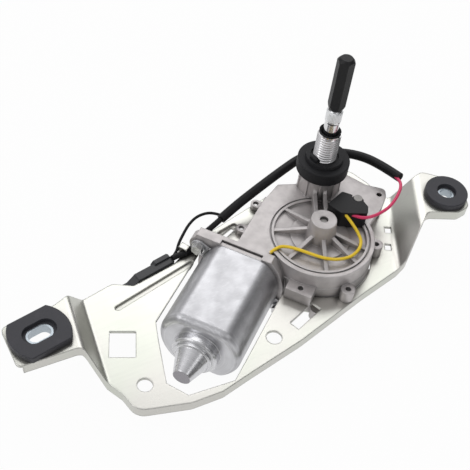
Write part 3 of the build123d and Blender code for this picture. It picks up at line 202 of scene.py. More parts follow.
class Line:
    """A socket of a node tree, with arithmetic that adds the nodes it needs."""

    def __init__(self, tree, socket):
        self.tree = tree
        self.socket = socket

    def _maths(self, operation, *values):
        return self.tree.node("ShaderNodeMath", {"operation": operation}, list(values))

    def __add__(self, other):
        return self._maths("ADD", self, other)

    def __radd__(self, other):
        return self._maths("ADD", other, self)

    def __sub__(self, other):
        return self._maths("SUBTRACT", self, other)

    def __rsub__(self, other):
        return self._maths("SUBTRACT", other, self)

    def __mul__(self, other):
        return self._maths("MULTIPLY", self, other)

    def __pow__(self, other):
        return self._maths("POWER", self, other)

    def sine(self):
        return self._maths("SINE", self)

    def whole(self):
        """The value without its sign."""
        return self._maths("ABSOLUTE", self)

    def angle_to(self, other):
        return self._maths("ARCTAN2", self, other)

    def step(self, low, high):
        """0 below low, 1 above high, and smooth between them."""
        return self.tree.node(
            "ShaderNodeMapRange", {"interpolation_type": "SMOOTHSTEP"},
            {"Value": self, "From Min": low, "From Max": high, "To Min": 0.0, "To Max": 1.0},
        )


class Tree:
    """The nodes of a material or of the surroundings."""

    def __init__(self, node_tree):
        self.nodes = node_tree.nodes
        self.links = node_tree.links

    def fill(self, socket, value):
        """Links a line to a socket, or gives the socket a value of its own."""
        if isinstance(value, Line):
            self.links.new(value.socket, socket)
        elif socket.type == "RGBA":
            socket.default_value = (*value, 1.0)
        else:
            socket.default_value = value

    def node(self, kind, settings, inputs, output=0):
        """Adds a node, makes its settings first, then fills its sockets, and returns one output."""
        made = self.nodes.new(kind)
        for key, value in settings.items():
            setattr(made, key, value)
        pairs = enumerate(inputs) if isinstance(inputs, list) else inputs.items()
        for key, value in pairs:
            self.fill(made.inputs[key], value)
        return Line(self, made.outputs[output])

    def dot(self, first, second):
        """The dot product of two vectors."""
        return self.node("ShaderNodeVectorMath", {"operation": "DOT_PRODUCT"}, [first, second], "Value")

    def parts(self, vector):
        """The three parts of a vector."""
        split = self.nodes.new("ShaderNodeSeparateXYZ")
        self.links.new(vector.socket, split.inputs[0])
        return [Line(self, out) for out in split.outputs]


class Finish(Tree):
    """One material's nodes."""

    def __init__(self, name):
        self.material = bpy.data.materials.new(name)
        self.material.use_nodes = True
        super().__init__(self.material.node_tree)
        self.shader = self.nodes["Principled BSDF"]
        self.place = self.node("ShaderNodeTexCoord", {}, {}, "Object")

    def turned_place(self, turn=0.0, scale=(1.0, 1.0, 1.0), origin=(0.0, 0.0, 0.0)):
        """The place measured from an origin, turned about Z and stretched, for streaks along one way."""
        moved = self.node("ShaderNodeVectorMath", {"operation": "SUBTRACT"}, [self.place, origin])
        return self.node(
            "ShaderNodeMapping", {"vector_type": "POINT"},
            {"Vector": moved, "Rotation": (0.0, 0.0, -turn), "Scale": scale},
        )

    def noise(self, size, detail=3.0, rough=0.55, place=None):
        """Soft noise whose lumps are about size metres across."""
        return self.node(
            "ShaderNodeTexNoise", {"noise_dimensions": "3D"},
            {"Vector": place or self.place, "Scale": 1.0 / size, "Detail": detail, "Roughness": rough}, "Fac",
        )

    def cells(self, size):
        """Distance from the middles of cells that are about size metres across."""
        return self.node(
            "ShaderNodeTexVoronoi", {"feature": "F1"}, {"Vector": self.place, "Scale": 1.0 / size},
            "Distance",
        )

    def blend(self, factor, first, second):
        """Mixes two colours."""
        made = self.nodes.new("ShaderNodeMix")
        made.data_type = "RGBA"
        for key, value in (("Factor", factor), ("A", first), ("B", second)):
            self.fill(next(s for s in made.inputs if s.name == key and s.enabled), value)
        return Line(self, next(s for s in made.outputs if s.enabled))

    def edges(self, radius):
        """Nearly 0 on flat faces and higher along sharp edges, from a rounded normal."""
        round_normal = self.node("ShaderNodeBevel", {"samples": 4}, {"Radius": radius})
        plain = self.node("ShaderNodeNewGeometry", {}, {}, "Normal")
        return 1.0 - self.dot(round_normal, plain)

    def facing_up(self):
        """1 where the true surface lies level, 0 where it stands upright."""
        plain = self.node("ShaderNodeNewGeometry", {}, {}, "True Normal")
        return self.parts(plain)[2].whole()

    def rounded(self, radius):
        """The surface's normal with its sharp edges rounded off."""
        return self.node("ShaderNodeBevel", {"samples": 6}, {"Radius": radius})

    def hollows(self, reach):
        """1 in the open and lower inside holes, grooves and corners."""
        return self.node("ShaderNodeAmbientOcclusion", {"samples": 8}, {"Distance": reach}, "AO")

    def bump(self, height, distance, strength, normal=None):
        """The surface's normal, or the one given, with a height's relief."""
        sockets = {"Height": height, "Distance": distance, "Strength": strength}
        if normal is not None:
            sockets["Normal"] = normal
        return self.node("ShaderNodeBump", {}, sockets, "Normal")

    def finish(self, colour, metallic, roughness, normal, shine=0.5):
        """Fills the shader's sockets and returns the material."""
        sockets = {
            "Base Color": colour, "Metallic": metallic, "Roughness": roughness, "Normal": normal,
            "Specular IOR Level": shine,
        }
        for key, value in sockets.items():
            self.fill(self.shader.inputs[key], value)
        return self.material


def shaded(colour, share):
    """A colour made darker, or lighter where the share is over 1."""
    return tuple(c * share for c in colour)


def zinc_sheet(name, colour, tint, roughness):
    """Zinc plated sheet: faint rolled streaks, a pale passivated tint in soft clouds, painted shade in
    hollows and on upright edges, painted highlights on level edges.
    """
    rolled, painted_hollow_shade = (0.42, 0.42, 0.40), (0.20, 0.195, 0.18)
    painted_edge_highlight, painted_edge_shade = (0.90, 0.90, 0.88), (0.10, 0.10, 0.09)
    t = Finish(name)
    clouds = t.noise(0.045, 2.0)
    streaks = t.noise(0.0016, 4.0, place=t.turned_place(0.0, (0.06, 1.0, 1.0)))
    fine = t.noise(0.0005, 2.0)
    shade = t.blend(clouds.step(0.35, 0.68), colour, tint)
    shade = t.blend(streaks.step(0.3, 0.8) * 0.14, shade, rolled)
    # Painted shade: darker inside holes, grooves and corners
    shade = t.blend(1.0 - t.hollows(0.006).step(0.25, 0.95), shade, painted_hollow_shade)
    side = 1.0 - t.facing_up().step(0.1, 0.5)
    # Painted highlight: lighter along the edges of level faces
    shade = t.blend(t.edges(0.0007).step(0.01, 0.2) * (1.0 - side) * 0.6, shade, painted_edge_highlight)
    # Painted shade: darker along the edges of upright faces
    shade = t.blend(t.edges(0.0011).step(0.02, 0.2) * side * 0.75, shade, painted_edge_shade)
    rough = roughness + (clouds - 0.5) * 0.10 + (fine - 0.5) * 0.05
    return t.finish(shade, 0.95, rough, t.bump(fine * 0.5 + streaks, 0.00002, 0.3, t.rounded(0.0012)))


def cast_metal(name, colour, shadow):
    """Pressure cast aluminium: a fine sandy skin with faint flow marks, painted shade in hollows and painted
    highlights on edges.
    """
    sand, painted_edge_highlight = (0.83, 0.82, 0.81), (0.86, 0.85, 0.85)
    t = Finish(name)
    grain = t.noise(0.00045, 4.0, 0.7)
    lumps = t.noise(0.006, 3.0)
    shade = t.blend(lumps.step(0.3, 0.75), colour, shadow)
    shade = t.blend(grain.step(0.55, 0.85) * 0.35, shade, sand)
    # Painted shade: darker inside holes, grooves and corners
    shade = t.blend(1.0 - t.hollows(0.006).step(0.1, 0.85), shade, shaded(shadow, 0.32))
    # Painted highlight: lighter along sharp edges
    shade = t.blend(t.edges(0.0006).step(0.01, 0.2) * 0.5, shade, painted_edge_highlight)
    rough = 0.50 + (grain - 0.5) * 0.25 + (lumps - 0.5) * 0.08
    return t.finish(shade, 0.75, rough, t.bump(grain + lumps * 0.6, 0.00006, 0.45, t.rounded(0.0009)))


def drawn_steel(name, colour, shadow):
    """Galvanised drawn sheet: a mottled skin on the body, rings round the drawn end, painted highlights on
    edges, painted shade in hollows and on the tip's face, a painted sheen on the nose.
    """
    scuffed, painted_hollow_shade, painted_edge_highlight = (0.84, 0.84, 0.86), (0.12, 0.12, 0.13), (0.95, 0.95, 0.96)
    painted_nose_sheen, painted_tip_shade = (0.78, 0.78, 0.80), (0.30, 0.29, 0.31)
    t = Finish(name)
    foot = tuple(MOTOR_FOOT)
    along, across, up = t.parts(t.turned_place(MOTOR_TURN, origin=foot))
    out = (across * across + up * up) ** 0.5
    drawn = along.step(DRAWN_FROM - 0.004, DRAWN_FROM + 0.002)
    rings = t.noise(0.0009, 3.0, 0.6, t.node("ShaderNodeCombineXYZ", {}, [along, out, across * 0.04]))
    marks = t.noise(0.0016, 4.0, 0.6, t.turned_place(MOTOR_TURN, (0.3, 1.0, 1.0), foot))
    marks = marks + (rings - marks) * drawn
    clouds = t.noise(0.012, 3.0)
    spangle = t.cells(0.0045)
    shade = t.blend(clouds.step(0.3, 0.7), colour, shadow)
    shade = t.blend(marks.step(0.45, 0.8) * (0.25 + drawn * 0.45), shade, scuffed)
    # Painted shade: darker inside holes, grooves and corners
    shade = t.blend(1.0 - t.hollows(0.005).step(0.15, 0.85), shade, painted_hollow_shade)
    nose = along.step(NOSE_FROM - 0.001, NOSE_FROM + 0.001)
    tip = along.step(NOSE_TIP - 0.0003, NOSE_TIP - 0.0001)
    # Painted sheen: the nose made lighter
    shade = t.blend(nose * 0.5, shade, painted_nose_sheen)
    # Painted shade: the flat face at the tip darker
    shade = t.blend(tip, shade, painted_tip_shade)
    # Painted highlight: lighter along sharp edges
    shade = t.blend(t.edges(0.0008).step(0.01, 0.2) * 0.8, shade, painted_edge_highlight)
    rough = 0.40 + (clouds - 0.5) * 0.16 + (marks - 0.5) * 0.14 + (spangle - 0.4) * 0.03 - nose * 0.14
    return t.finish(shade, 0.95, rough, t.bump(marks, 0.00005, 0.35, t.rounded(0.0014)))


def turned_steel(name, colour, roughness):
    """Bright turned or ground steel with fine rings round Z."""
    worn = (0.55, 0.55, 0.56)
    t = Finish(name)
    rings = t.noise(0.0004, 3.0, place=t.turned_place(0.0, (0.02, 0.02, 1.0)))
    wear = t.noise(0.004, 3.0)
    rough = roughness + (rings - 0.5) * 0.16 + (wear - 0.5) * 0.08
    shade = t.blend(wear.step(0.35, 0.8) * 0.3, colour, worn)
    return t.finish(shade, 1.0, rough, t.bump(rings, 0.00002, 0.4))


def knurled_steel(name, colour, low, high):
    """The spindle: a bright ground shank and, between two heights in millimetres, a pale knurl with painted
    shade in its grooves.
    """
    crest, painted_groove_shade = (0.90, 0.91, 0.92), (0.34, 0.34, 0.35)
    t = Finish(name)
    x, y, z = t.parts(t.place)
    above = z.step((low - 0.6) * MM, (low + 0.6) * MM)
    knurl = above * (1.0 - z.step((high - 0.4) * MM, (high + 0.4) * MM))
    grooves = (y.angle_to(x) * KNURL_GROOVES).sine()
    rings = t.noise(0.0004, 3.0, place=t.turned_place(0.0, (0.02, 0.02, 1.0)))
    shade = t.blend(knurl, colour, crest)
    # Painted shade: darker in the knurl's grooves
    shade = t.blend((1.0 - grooves.step(-0.9, 0.2)) * knurl * 0.3, shade, painted_groove_shade)
    rough = 0.14 + knurl * 0.34 + (rings - 0.5) * 0.08
    return t.finish(shade, 1.0, rough, t.bump(grooves * knurl + rings * 0.1, 0.0001, 0.7))


def rubber(name, colour, dust, roughness=0.62):
    """Moulded rubber: matt, faintly mottled, with a little pale bloom."""
    t = Finish(name)
    fine = t.noise(0.0004, 3.0, 0.7)
    bloom = t.noise(0.009, 3.0)
    shade = t.blend(bloom.step(0.5, 0.85) * 0.5, colour, dust)
    rough = roughness + (fine - 0.5) * 0.2 + (bloom - 0.5) * 0.1
    return t.finish(shade, 0.0, rough, t.bump(fine + bloom, 0.00005, 0.5), shine=0.35)


def moulded(name, colour, light, roughness, shine=0.5):
    """Moulded plastic with a fine eroded skin."""
    t = Finish(name)
    skin = t.noise(0.0003, 3.0, 0.6)
    flow = t.noise(0.012, 2.0)
    shade = t.blend(flow.step(0.4, 0.85) * 0.5, colour, light)
    rough = roughness + (skin - 0.5) * 0.22 + (flow - 0.5) * 0.08
    return t.finish(shade, 0.0, rough, t.bump(skin, 0.00004, 0.5, t.rounded(0.0006)), shine)


def insulation(name, colour, shade_colour, roughness, shine):
    """Smooth extruded insulation with a slight waviness along it."""
    t = Finish(name)
    waves = t.noise(0.003, 2.0)
    fine = t.noise(0.0004, 2.0)
    shade = t.blend(waves.step(0.3, 0.8) * 0.6, colour, shade_colour)
    rough = roughness + (fine - 0.5) * 0.12
    return t.finish(shade, 0.0, rough, t.bump(waves, 0.00008, 0.5), shine)


def plain_metal(name, colour, roughness, metallic=1.0):
    """Any other small metal piece: a soft grain and a little tarnish."""
    t = Finish(name)
    fine = t.noise(0.0006, 3.0)
    dull = t.noise(0.005, 3.0)
    shade = t.blend(dull.step(0.4, 0.8) * 0.5, colour, shaded(colour, 0.72))
    rough = roughness + (fine - 0.5) * 0.14 + (dull - 0.5) * 0.1
    return t.finish(shade, metallic, rough, t.bump(fine, 0.00003, 0.4))


def paint(material, *names):
    """Gives nodes their material."""
    for name in names:
        materials = bpy.data.objects[name].data.materials
        materials.clear()
        materials.append(material)


def radius_of(node):
    """Half the width of a round node, in millimetres."""
    low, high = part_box(node)
    return (high[0] - low[0]) / 2 / MM


def top_of(node):
    """The height of a node's top, in millimetres."""
    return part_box(node)[1][2] / MM


def foot_of(node):
    """The height of a node's foot, in millimetres."""
    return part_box(node)[0][2] / MM


def clear_choice():
    """Nothing selected, so that the next operator acts on what it makes."""
    if bpy.context.mode != "OBJECT":
        bpy.ops.object.mode_set(mode="OBJECT")
    bpy.ops.object.select_all(action="DESELECT")


def choose(piece):
    """Selects one piece alone and makes it active."""
    clear_choice()
    piece.select_set(True)
    bpy.context.view_layer.objects.active = piece


def settle(piece):
    """Puts the object at the origin, unturned and unscaled, with its place in its mesh."""
    choose(piece)
    bpy.ops.object.transform_apply(location=True, rotation=True, scale=True)
    return piece


def smooth(piece, angle):
    """Smooth shading, except at edges sharper than an angle in degrees."""
    choose(piece)
    bpy.ops.object.shade_smooth_by_angle(angle=radians(angle))
    return piece


def smooth_nodes(angle, *names):
    """Smooth shading on CAD nodes, whose meshes are left as they are."""
    for name in names:
        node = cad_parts[name]
        node.data.shade_smooth()
        node.data.set_sharp_from_angle(angle=radians(angle))


def turned_piece(name, profile):
    """A closed round piece about Z, made by drawing a ring from one radius and height to the next."""
    clear_choice()
    radius, height = profile[0]
    bpy.ops.mesh.primitive_circle_add(
        vertices=ROUND_SIDES, radius=radius * MM, location=Vector((0.0, 0.0, height)) * MM,
    )
    piece = bpy.context.object
    piece.name = name
    bpy.ops.object.mode_set(mode="EDIT")
    bpy.ops.mesh.select_mode(type="VERT")
    bpy.ops.mesh.select_all(action="SELECT")
    for next_radius, next_height in (*profile[1:], profile[0]):
        bpy.ops.mesh.extrude_region_move(
            TRANSFORM_OT_translate={"value": (0.0, 0.0, (next_height - height) * MM)},
        )
        share = next_radius / radius
        bpy.ops.transform.resize(value=(share, share, 1.0), center_override=(0.0, 0.0, next_height * MM))
        radius, height = next_radius, next_height
    bpy.ops.mesh.select_all(action="SELECT")
    bpy.ops.mesh.remove_doubles(threshold=WELD)
    bpy.ops.mesh.select_all(action="SELECT")
    bpy.ops.mesh.normals_make_consistent(inside=False)
    bpy.ops.object.mode_set(mode="OBJECT")
    return settle(piece)


def cut(piece, tool, operation):
    """Adds a second piece to the first, or takes it away, and removes the second."""
    choose(piece)
    change = piece.modifiers.new(operation.lower(), "BOOLEAN")
    change.object = tool
    change.operation = operation
    change.solver = "EXACT"
    bpy.ops.object.modifier_apply(modifier=change.name)
    bpy.data.objects.remove(tool)
    return piece


def rod(name, radius, low, high):
    """A plain round rod about Z, from one height to another in millimetres."""
    clear_choice()
    bpy.ops.mesh.primitive_cylinder_add(
        vertices=ROUND_SIDES, radius=radius * MM, depth=(high - low) * MM,
        location=(0.0, 0.0, (low + high) / 2 * MM),
    )
    bpy.context.object.name = name
    return settle(bpy.context.object)


def threaded_rod(name, radius, depth, pitch, low, high):
    """A rod with a thread, made by winding one tooth's side view round Z and cutting both ends flat."""
    clear_choice()
    bpy.ops.mesh.primitive_plane_add(size=1.0)
    piece = bpy.context.object
    piece.name = name
    piece.data.clear_geometry()
    start = low - SPARE_TURNS * pitch
    corners = [(radius - depth * (1.0 - rise), 0.0, start + along * pitch) for rise, along in TOOTH]
    piece.data.from_pydata(corners, [(i, i + 1) for i in range(len(corners) - 1)], [])
    winding = piece.modifiers.new("winding", "SCREW")
    winding.axis = "Z"
    winding.screw_offset = pitch
    winding.iterations = int((high - low) / pitch) + 2 * SPARE_TURNS + 1
    winding.steps = winding.render_steps = ROUND_SIDES
    bpy.ops.object.modifier_apply(modifier=winding.name)
    bpy.ops.object.mode_set(mode="EDIT")
    bpy.ops.mesh.select_mode(type="VERT")
    bpy.ops.mesh.select_all(action="SELECT")
    bpy.ops.mesh.remove_doubles(threshold=pitch / 1000)
    for height, above in ((low, False), (high, True)):
        bpy.ops.mesh.select_all(action="SELECT")
        bpy.ops.mesh.bisect(
            plane_co=(0.0, 0.0, height), plane_no=(0.0, 0.0, 1.0), use_fill=True, clear_inner=not above,
            clear_outer=above,
        )
    bpy.ops.mesh.select_all(action="SELECT")
    bpy.ops.mesh.normals_make_consistent(inside=False)
    bpy.ops.object.mode_set(mode="OBJECT")
    choose(piece)
    bpy.ops.transform.resize(value=(MM, MM, MM), center_override=(0.0, 0.0, 0.0))
    return settle(piece)


def lead(name, route, radius, node, material):
    """A lead on a smooth line that its route's points control, joined to the motor at both ends."""
    curve = bpy.data.curves.new(name, "CURVE")
    curve.dimensions = "3D"
    curve.resolution_u = LEAD_STEPS
    curve.bevel_depth = radius * MM
    curve.bevel_resolution = LEAD_CORNERS
    curve.use_fill_caps = True
    line = curve.splines.new("NURBS")
    line.points.add(len(route) - 1)
    for point, place in zip(line.points, route):
        point.co = (*(Vector(place) * MM), 1.0)
    line.order_u = 3
    line.use_endpoint_u = True
    piece = bpy.data.objects.new(name, curve)
    bpy.context.scene.collection.objects.link(piece)
    curve.materials.append(material)
    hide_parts(node)
    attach(piece, "base")


def white_floor():
    """A floor that shows the object's shadow faintly and that reflections see as bright."""
    clear_choice()
    bpy.ops.mesh.primitive_plane_add(size=FLOOR_WIDTH, location=(0.0, 0.0, cad_box[0][2] - FLOOR_GAP))
    floor = bpy.context.object
    floor.name = "floor"
    settle(floor)
    t = Finish("white_floor")
    t.fill(t.shader.inputs["Base Color"], FLOOR_COLOUR)
    t.fill(t.shader.inputs["Roughness"], FLOOR_ROUGHNESS)
    camera_ray = t.node("ShaderNodeLightPath", {}, {}, "Is Camera Ray")
    glossy_ray = t.node("ShaderNodeLightPath", {}, {}, "Is Glossy Ray")
    whiteness = camera_ray * FLOOR_FOR_CAMERA + glossy_ray * FLOOR_FOR_GLOSS
    white = t.node("ShaderNodeEmission", {}, {"Strength": 1.0})
    mixed = t.node("ShaderNodeMixShader", {}, [whiteness, Line(t, t.shader.outputs[0]), white])
    t.links.new(mixed.socket, t.nodes["Material Output"].inputs["Surface"])
    floor.data.materials.append(t.material)


def surroundings():
    """White to the camera, and to everything else brighter overhead and on one side."""
    world = bpy.data.worlds.new("studio")
    bpy.context.scene.world = world
    world.use_nodes = True
    world.node_tree.nodes.clear()
    t = Tree(world.node_tree)
    way = t.node("ShaderNodeTexCoord", {}, {}, "Generated")
    sky = t.node("ShaderNodeValToRGB", {}, {"Fac": t.parts(way)[2]})
    stops = sky.socket.node.color_ramp.elements
    stops.new(SKY_LEVELS[1][0])
    for stop, (height, level) in zip(stops, SKY_LEVELS):
        stop.position = height
        stop.color = (level, level, level * SKY_BLUE, 1.0)
    share = t.node("ShaderNodeMapRange", {}, {"Value": t.dot(way, BRIGHT_SIDE), **SIDE_SHARE})
    soft = t.node("ShaderNodeBackground", {}, {"Color": sky, "Strength": share})
    white = t.node("ShaderNodeBackground", {}, {"Color": (1.0, 1.0, 1.0), "Strength": 1.0})
    camera_ray = t.node("ShaderNodeLightPath", {}, {}, "Is Camera Ray")
    mixed = t.node("ShaderNodeMixShader", {}, [camera_ray, soft, white])
    t.links.new(mixed.socket, t.nodes.new("ShaderNodeOutputWorld").inputs["Surface"])


def lamps():
    """Soft lamps behind, at the left and in front."""
    for name, place, width, power in LAMPS:
        lamp = bpy.data.lights.new(name, "AREA")
        lamp.shape = "RECTANGLE"
        lamp.size = width
        lamp.size_y = width * LAMP_HEIGHT_SHARE
        lamp.energy = power
        holder = bpy.data.objects.new(name, lamp)
        holder.location = place
        holder.rotation_euler = (LAMP_AIM - Vector(place)).to_track_quat("-Z", "Y").to_euler()
        bpy.context.scene.collection.objects.link(holder)


def camera():
    """The camera, fitted to the picture's view of the motor."""
    back = Vector((
        sin(CAMERA_ROUND) * cos(CAMERA_ABOVE), -cos(CAMERA_ROUND) * cos(CAMERA_ABOVE), sin(CAMERA_ABOVE),
    ))
    right = Vector((0.0, 0.0, 1.0)).cross(back).normalized()
    up = back.cross(right)
    side = right * cos(CAMERA_ROLL) + up * sin(CAMERA_ROLL)
    top = up * cos(CAMERA_ROLL) - right * sin(CAMERA_ROLL)
    place = CAMERA_TARGET + back * CAMERA_DISTANCE
    lens = bpy.data.cameras.new("camera")
    lens.sensor_width = SENSOR_WIDTH
    lens.lens = SENSOR_WIDTH * FOCAL_PIXELS / PICTURE_PIXELS
    lens.clip_start = CAMERA_NEAREST
    holder = bpy.data.objects.new("camera", lens)
    holder.matrix_world = Matrix((
        (side.x, top.x, back.x, place.x),
        (side.y, top.y, back.y, place.y),
        (side.z, top.z, back.z, place.z),
        (0.0, 0.0, 0.0, 1.0),
    ))
    bpy.context.scene.collection.objects.link(holder)
    bpy.context.scene.camera = holder


class MotorSizes(bpy.types.PropertyGroup):
    """Sizes of the small detail."""

    thread_pitch: bpy.props.FloatProperty(
        name="Thread pitch", description="Pitch of the thread on the sleeve", default=0.002, min=0.0005,
        max=0.003, unit="LENGTH", precision=5,
    )
    thread_depth: bpy.props.FloatProperty(
        name="Thread depth", description="Depth of the thread on the sleeve", default=0.0008, min=0.0002,
        max=0.0012, unit="LENGTH", precision=5,
    )
    lead_radius: bpy.props.FloatProperty(
        name="Lead radius", description="Radius of the yellow and the red lead", default=0.0011, min=0.0006,
        max=0.002, unit="LENGTH", precision=5,
    )


def colour_property(name, description, default):
    """A colour that the panel shows."""
    return bpy.props.FloatVectorProperty(
        name=name, description=description, subtype="COLOR", size=3, min=0.0, max=1.0, default=default,
    )


class MotorColours(bpy.types.PropertyGroup):
    """Colours of the finishes."""

    plate: colour_property("Plate", "Plated sheet of the bracket", (0.60, 0.59, 0.555))
    plate_tint: colour_property("Plate tint", "Passivated tint of the bracket", (0.60, 0.615, 0.555))
    casting: colour_property("Casting", "Cast gear housing", (0.58, 0.55, 0.545))
    can: colour_property("Can", "Drawn steel can of the motor", (0.56, 0.56, 0.58))
    rubber: colour_property("Rubber", "Mounts and seals", (0.012, 0.012, 0.014))
    yellow: colour_property("Yellow lead", "Insulation of the yellow lead", (0.95, 0.66, 0.03))
    red: colour_property("Red lead", "Insulation of the red lead", (0.78, 0.04, 0.15))


class MOTOR_OT_stage(bpy.types.Operator):
    """White floor and surroundings, soft lamps, and the camera."""

    bl_idname = "motor.stage"
    bl_label = "Stage"

    def execute(self, context):
        white_floor()
        surroundings()
        lamps()
        camera()
        context.scene.view_settings.view_transform = "Standard"
        return {"FINISHED"}


class MOTOR_OT_wiring(bpy.types.Operator):
    """The two coloured leads, the black tube with its tail, and the thin black loop."""

    bl_idname = "motor.wiring"
    bl_label = "Wiring"

    def execute(self, context):
        colours = context.scene.motor_colours
        radius = context.scene.motor_sizes.lead_radius / MM
        yellow, red = tuple(colours.yellow), tuple(colours.red)
        yellow = insulation("yellow_insulation", yellow, shaded(yellow, 0.9), 0.34, 0.5)
        red = insulation("red_insulation", red, shaded(red, 0.85), 0.34, 0.5)
        black = insulation("black_tubing", (0.009, 0.009, 0.010), (0.014, 0.014, 0.016), 0.42, 0.22)
        lead("yellow_wire", YELLOW_ROUTE, radius, "yellow_lead", yellow)
        lead("red_wire", RED_ROUTE, radius, "red_lead", red)
        lead("harness_sleeving", TUBE_ROUTE, TUBE_RADIUS, "harness_tube", black)
        lead("harness_end", TAIL_ROUTE, TAIL_RADIUS, "harness_tail", black)
        lead("loop_wire", LOOP_ROUTE, LOOP_RADIUS, "loop_lead", black)
        return {"FINISHED"}


class MOTOR_OT_metalwork(bpy.types.Operator):
    """Finishes of the plate, the castings, the can and the steel pieces."""

    bl_idname = "motor.metalwork"
    bl_label = "Metalwork"

    def execute(self, context):
        colours = context.scene.motor_colours
        cap_foot = foot_of("spindle_cap")
        sheet, tint = tuple(colours.plate), tuple(colours.plate_tint)
        casting, can = tuple(colours.casting), tuple(colours.can)
        paint(zinc_sheet("plated_sheet", sheet, tint, 0.30), "mounting_plate")
        paint(zinc_sheet("plated_cover", (0.66, 0.66, 0.62), (0.62, 0.64, 0.57), 0.36), "gear_cover")
        paint(cast_metal("cast_aluminium", casting, shaded(casting, 0.86)), "gear_housing")
        paint(drawn_steel("drawn_steel", can, shaded(can, 0.84)), "motor_can")
        paint(
            turned_steel("bright_steel", BRIGHT_STEEL, 0.20),
            "spindle_pinion", "crank_pin", "sector_pin", "sector_link", "rocker_link", "armature_shaft",
        )
        paint(
            knurled_steel("spindle_steel", BRIGHT_STEEL, cap_foot - KNURL_END, cap_foot - KNURL_START),
            "spindle",
        )
        paint(
            turned_steel("screw_steel", (0.66, 0.66, 0.66), 0.26),
            "can_screws", "plate_screws", "cover_screws",
        )
        paint(plain_metal("dull_steel", (0.30, 0.29, 0.28), 0.5), "wheel_axle", "contact_screw")
        paint(plain_metal("blue_zinc", (0.42, 0.47, 0.51), 0.34), "right_sleeve", "left_sleeve")
        paint(
            plain_metal("sintered_bronze", (0.42, 0.27, 0.13), 0.5),
            "lower_bush", "upper_bush", "front_bush", "rear_bush", "contact_ring", "commutator",
        )
        paint(plain_metal("lamination_steel", (0.22, 0.22, 0.24), 0.45), "armature_core")
        paint(plain_metal("enamelled_copper", (0.50, 0.17, 0.06), 0.32), "windings")
        paint(plain_metal("spring_steel", (0.42, 0.43, 0.45), 0.35), "bush_clip", "brush_springs")
        paint(plain_metal("ferrite", (0.06, 0.06, 0.065), 0.6, metallic=0.1), "magnets")
        smooth_nodes(
            SHARP_METAL, "mounting_plate", "gear_housing", "motor_can", "gear_cover", "spindle", "can_screws",
            "plate_screws", "cover_screws", "contact_screw", "right_sleeve", "left_sleeve", "wheel_axle",
            "armature_shaft", "commutator", "front_bush", "rear_bush", "lower_bush", "upper_bush",
        )
        return {"FINISHED"}


class MOTOR_OT_sleeve(bpy.types.Operator):
    """The spindle's threaded sleeve, with a real thread and a bored middle."""

    bl_idname = "motor.sleeve"
    bl_label = "Threaded sleeve"

    def execute(self, context):
        sizes = context.scene.motor_sizes
        low, high = foot_of("threaded_sleeve"), top_of("threaded_sleeve")
        radius, bore = radius_of("threaded_sleeve"), radius_of("upper_bush")
        seal_top = top_of("tower_seal")
        sleeve = threaded_rod(
            "sleeve_with_thread", radius, sizes.thread_depth / MM, sizes.thread_pitch / MM,
            seal_top - THREAD_START, high - THREAD_END,
        )
        cut(sleeve, rod("sleeve_shank", radius - SHANK_INSET, low, seal_top - SHANK_END), "UNION")
        cut(sleeve, rod("sleeve_mouth", radius - MOUTH_INSET, high - MOUTH_START, high), "UNION")
        cut(sleeve, rod("sleeve_bore", bore, low - BORE_SPARE, high + BORE_SPARE), "DIFFERENCE")
        sleeve.data.materials.append(turned_steel("thread_steel", (0.74, 0.73, 0.74), 0.16))
        smooth(sleeve, SHARP_THREAD)
        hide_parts("threaded_sleeve")
        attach(sleeve, "base")
        return {"FINISHED"}


class MOTOR_OT_mouldings(bpy.types.Operator):
    """Finishes of the rubber mounts, the panel seal and the plastic pieces."""

    bl_idname = "motor.mouldings"
    bl_label = "Mouldings"

    def execute(self, context):
        black = tuple(context.scene.motor_colours.rubber)
        paint(rubber("seal_rubber", black, (0.022, 0.022, 0.025)), "tower_seal")
        paint(
            rubber("mount_rubber", shaded(black, 4.0), (0.085, 0.08, 0.094), 0.5),
            "left_grommet", "right_grommet",
        )
        paint(
            moulded("black_moulding", (0.012, 0.012, 0.013), (0.018, 0.018, 0.02), 0.46, shine=0.28),
            "spindle_cap", "contact_block", "brush_holder", "thrust_plug",
        )
        paint(
            moulded("connector_moulding", (0.018, 0.019, 0.022), (0.03, 0.03, 0.035), 0.38), "connector_body",
        )
        paint(moulded("natural_moulding", (0.72, 0.69, 0.60), (0.66, 0.62, 0.52), 0.45), "worm_wheel")
        paint(moulded("carbon", (0.03, 0.03, 0.03), (0.05, 0.05, 0.05), 0.6), "brushes")
        smooth_nodes(SHARP_METAL, "left_grommet", "right_grommet", "tower_seal")
        smooth_nodes(
            SHARP_MOULDING, "spindle_cap", "contact_block", "brush_holder", "thrust_plug", "connector_body",
            "worm_wheel",
        )
        return {"FINISHED"}


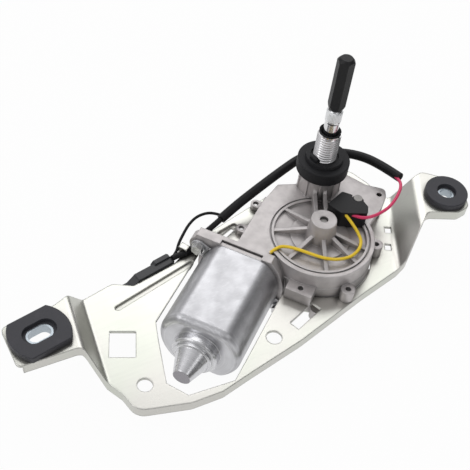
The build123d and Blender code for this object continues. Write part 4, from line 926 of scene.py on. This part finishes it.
class MOTOR_OT_seals(bpy.types.Operator):
    """The wiping seal in the sleeve's mouth and the tab that keys the panel seal to the thread."""

    bl_idname = "motor.seals"
    bl_label = "Seals"

    def execute(self, context):
        black = rubber("lip_rubber", tuple(context.scene.motor_colours.rubber), (0.016, 0.016, 0.018))
        mouth, bore = top_of("threaded_sleeve"), radius_of("upper_bush")
        lip = turned_piece("wiping_seal", [(bore + out, mouth + rise) for out, rise in LIP])
        lip.data.materials.append(black)
        smooth(lip, SHARP_SEAL)
        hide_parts("shaft_seal")
        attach(lip, "base")

        clear_choice()
        bpy.ops.mesh.primitive_cube_add(size=1.0, location=(0.0, 0.0, 0.0))
        tab = context.object
        tab.name = "seal_tab"
        tab.scale = TAB_SIZE * MM
        height = top_of("tower_seal") + TAB_UP
        tab.location = Vector((TAB_OUT * cos(TAB_TURN), TAB_OUT * sin(TAB_TURN), height)) * MM
        tab.rotation_euler = (0.0, 0.0, TAB_TURN)
        settle(tab)
        rounding = tab.modifiers.new("rounding", "BEVEL")
        rounding.width = TAB_ROUNDING * MM
        rounding.segments = TAB_ROUNDING_STEPS
        bpy.ops.object.modifier_apply(modifier=rounding.name)
        tab.data.materials.append(black)
        smooth(tab, SHARP_SEAL)
        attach(tab, "base")
        return {"FINISHED"}


class MOTOR_PT_panel(bpy.types.Panel):
    """Everything that dresses the motor."""

    bl_label = "Wiper Motor"
    bl_idname = "MOTOR_PT_panel"
    bl_space_type = "VIEW_3D"
    bl_region_type = "UI"
    bl_category = "Wiper Motor"

    def draw(self, context):
        layout = self.layout
        for step in STEPS:
            layout.operator(f"motor.{step}")
        for group in (context.scene.motor_sizes, context.scene.motor_colours):
            for name in group.bl_rna.properties.keys():
                if name not in ("rna_type", "name"):
                    layout.prop(group, name)


STEPS = ("stage", "wiring", "metalwork", "sleeve", "mouldings", "seals")
CLASSES = (
    MotorSizes, MotorColours, MOTOR_OT_stage, MOTOR_OT_wiring, MOTOR_OT_metalwork, MOTOR_OT_sleeve,
    MOTOR_OT_mouldings, MOTOR_OT_seals, MOTOR_PT_panel,
)


def register():
    for item in CLASSES:
        bpy.utils.register_class(item)
    bpy.types.Scene.motor_sizes = bpy.props.PointerProperty(type=MotorSizes)
    bpy.types.Scene.motor_colours = bpy.props.PointerProperty(type=MotorColours)


def unregister():
    del bpy.types.Scene.motor_colours
    del bpy.types.Scene.motor_sizes
    for item in reversed(CLASSES):
        bpy.utils.unregister_class(item)


def main():
    register()
    for step in STEPS:
        getattr(bpy.ops.motor, step)()


if __name__ == "__main__":
    main()
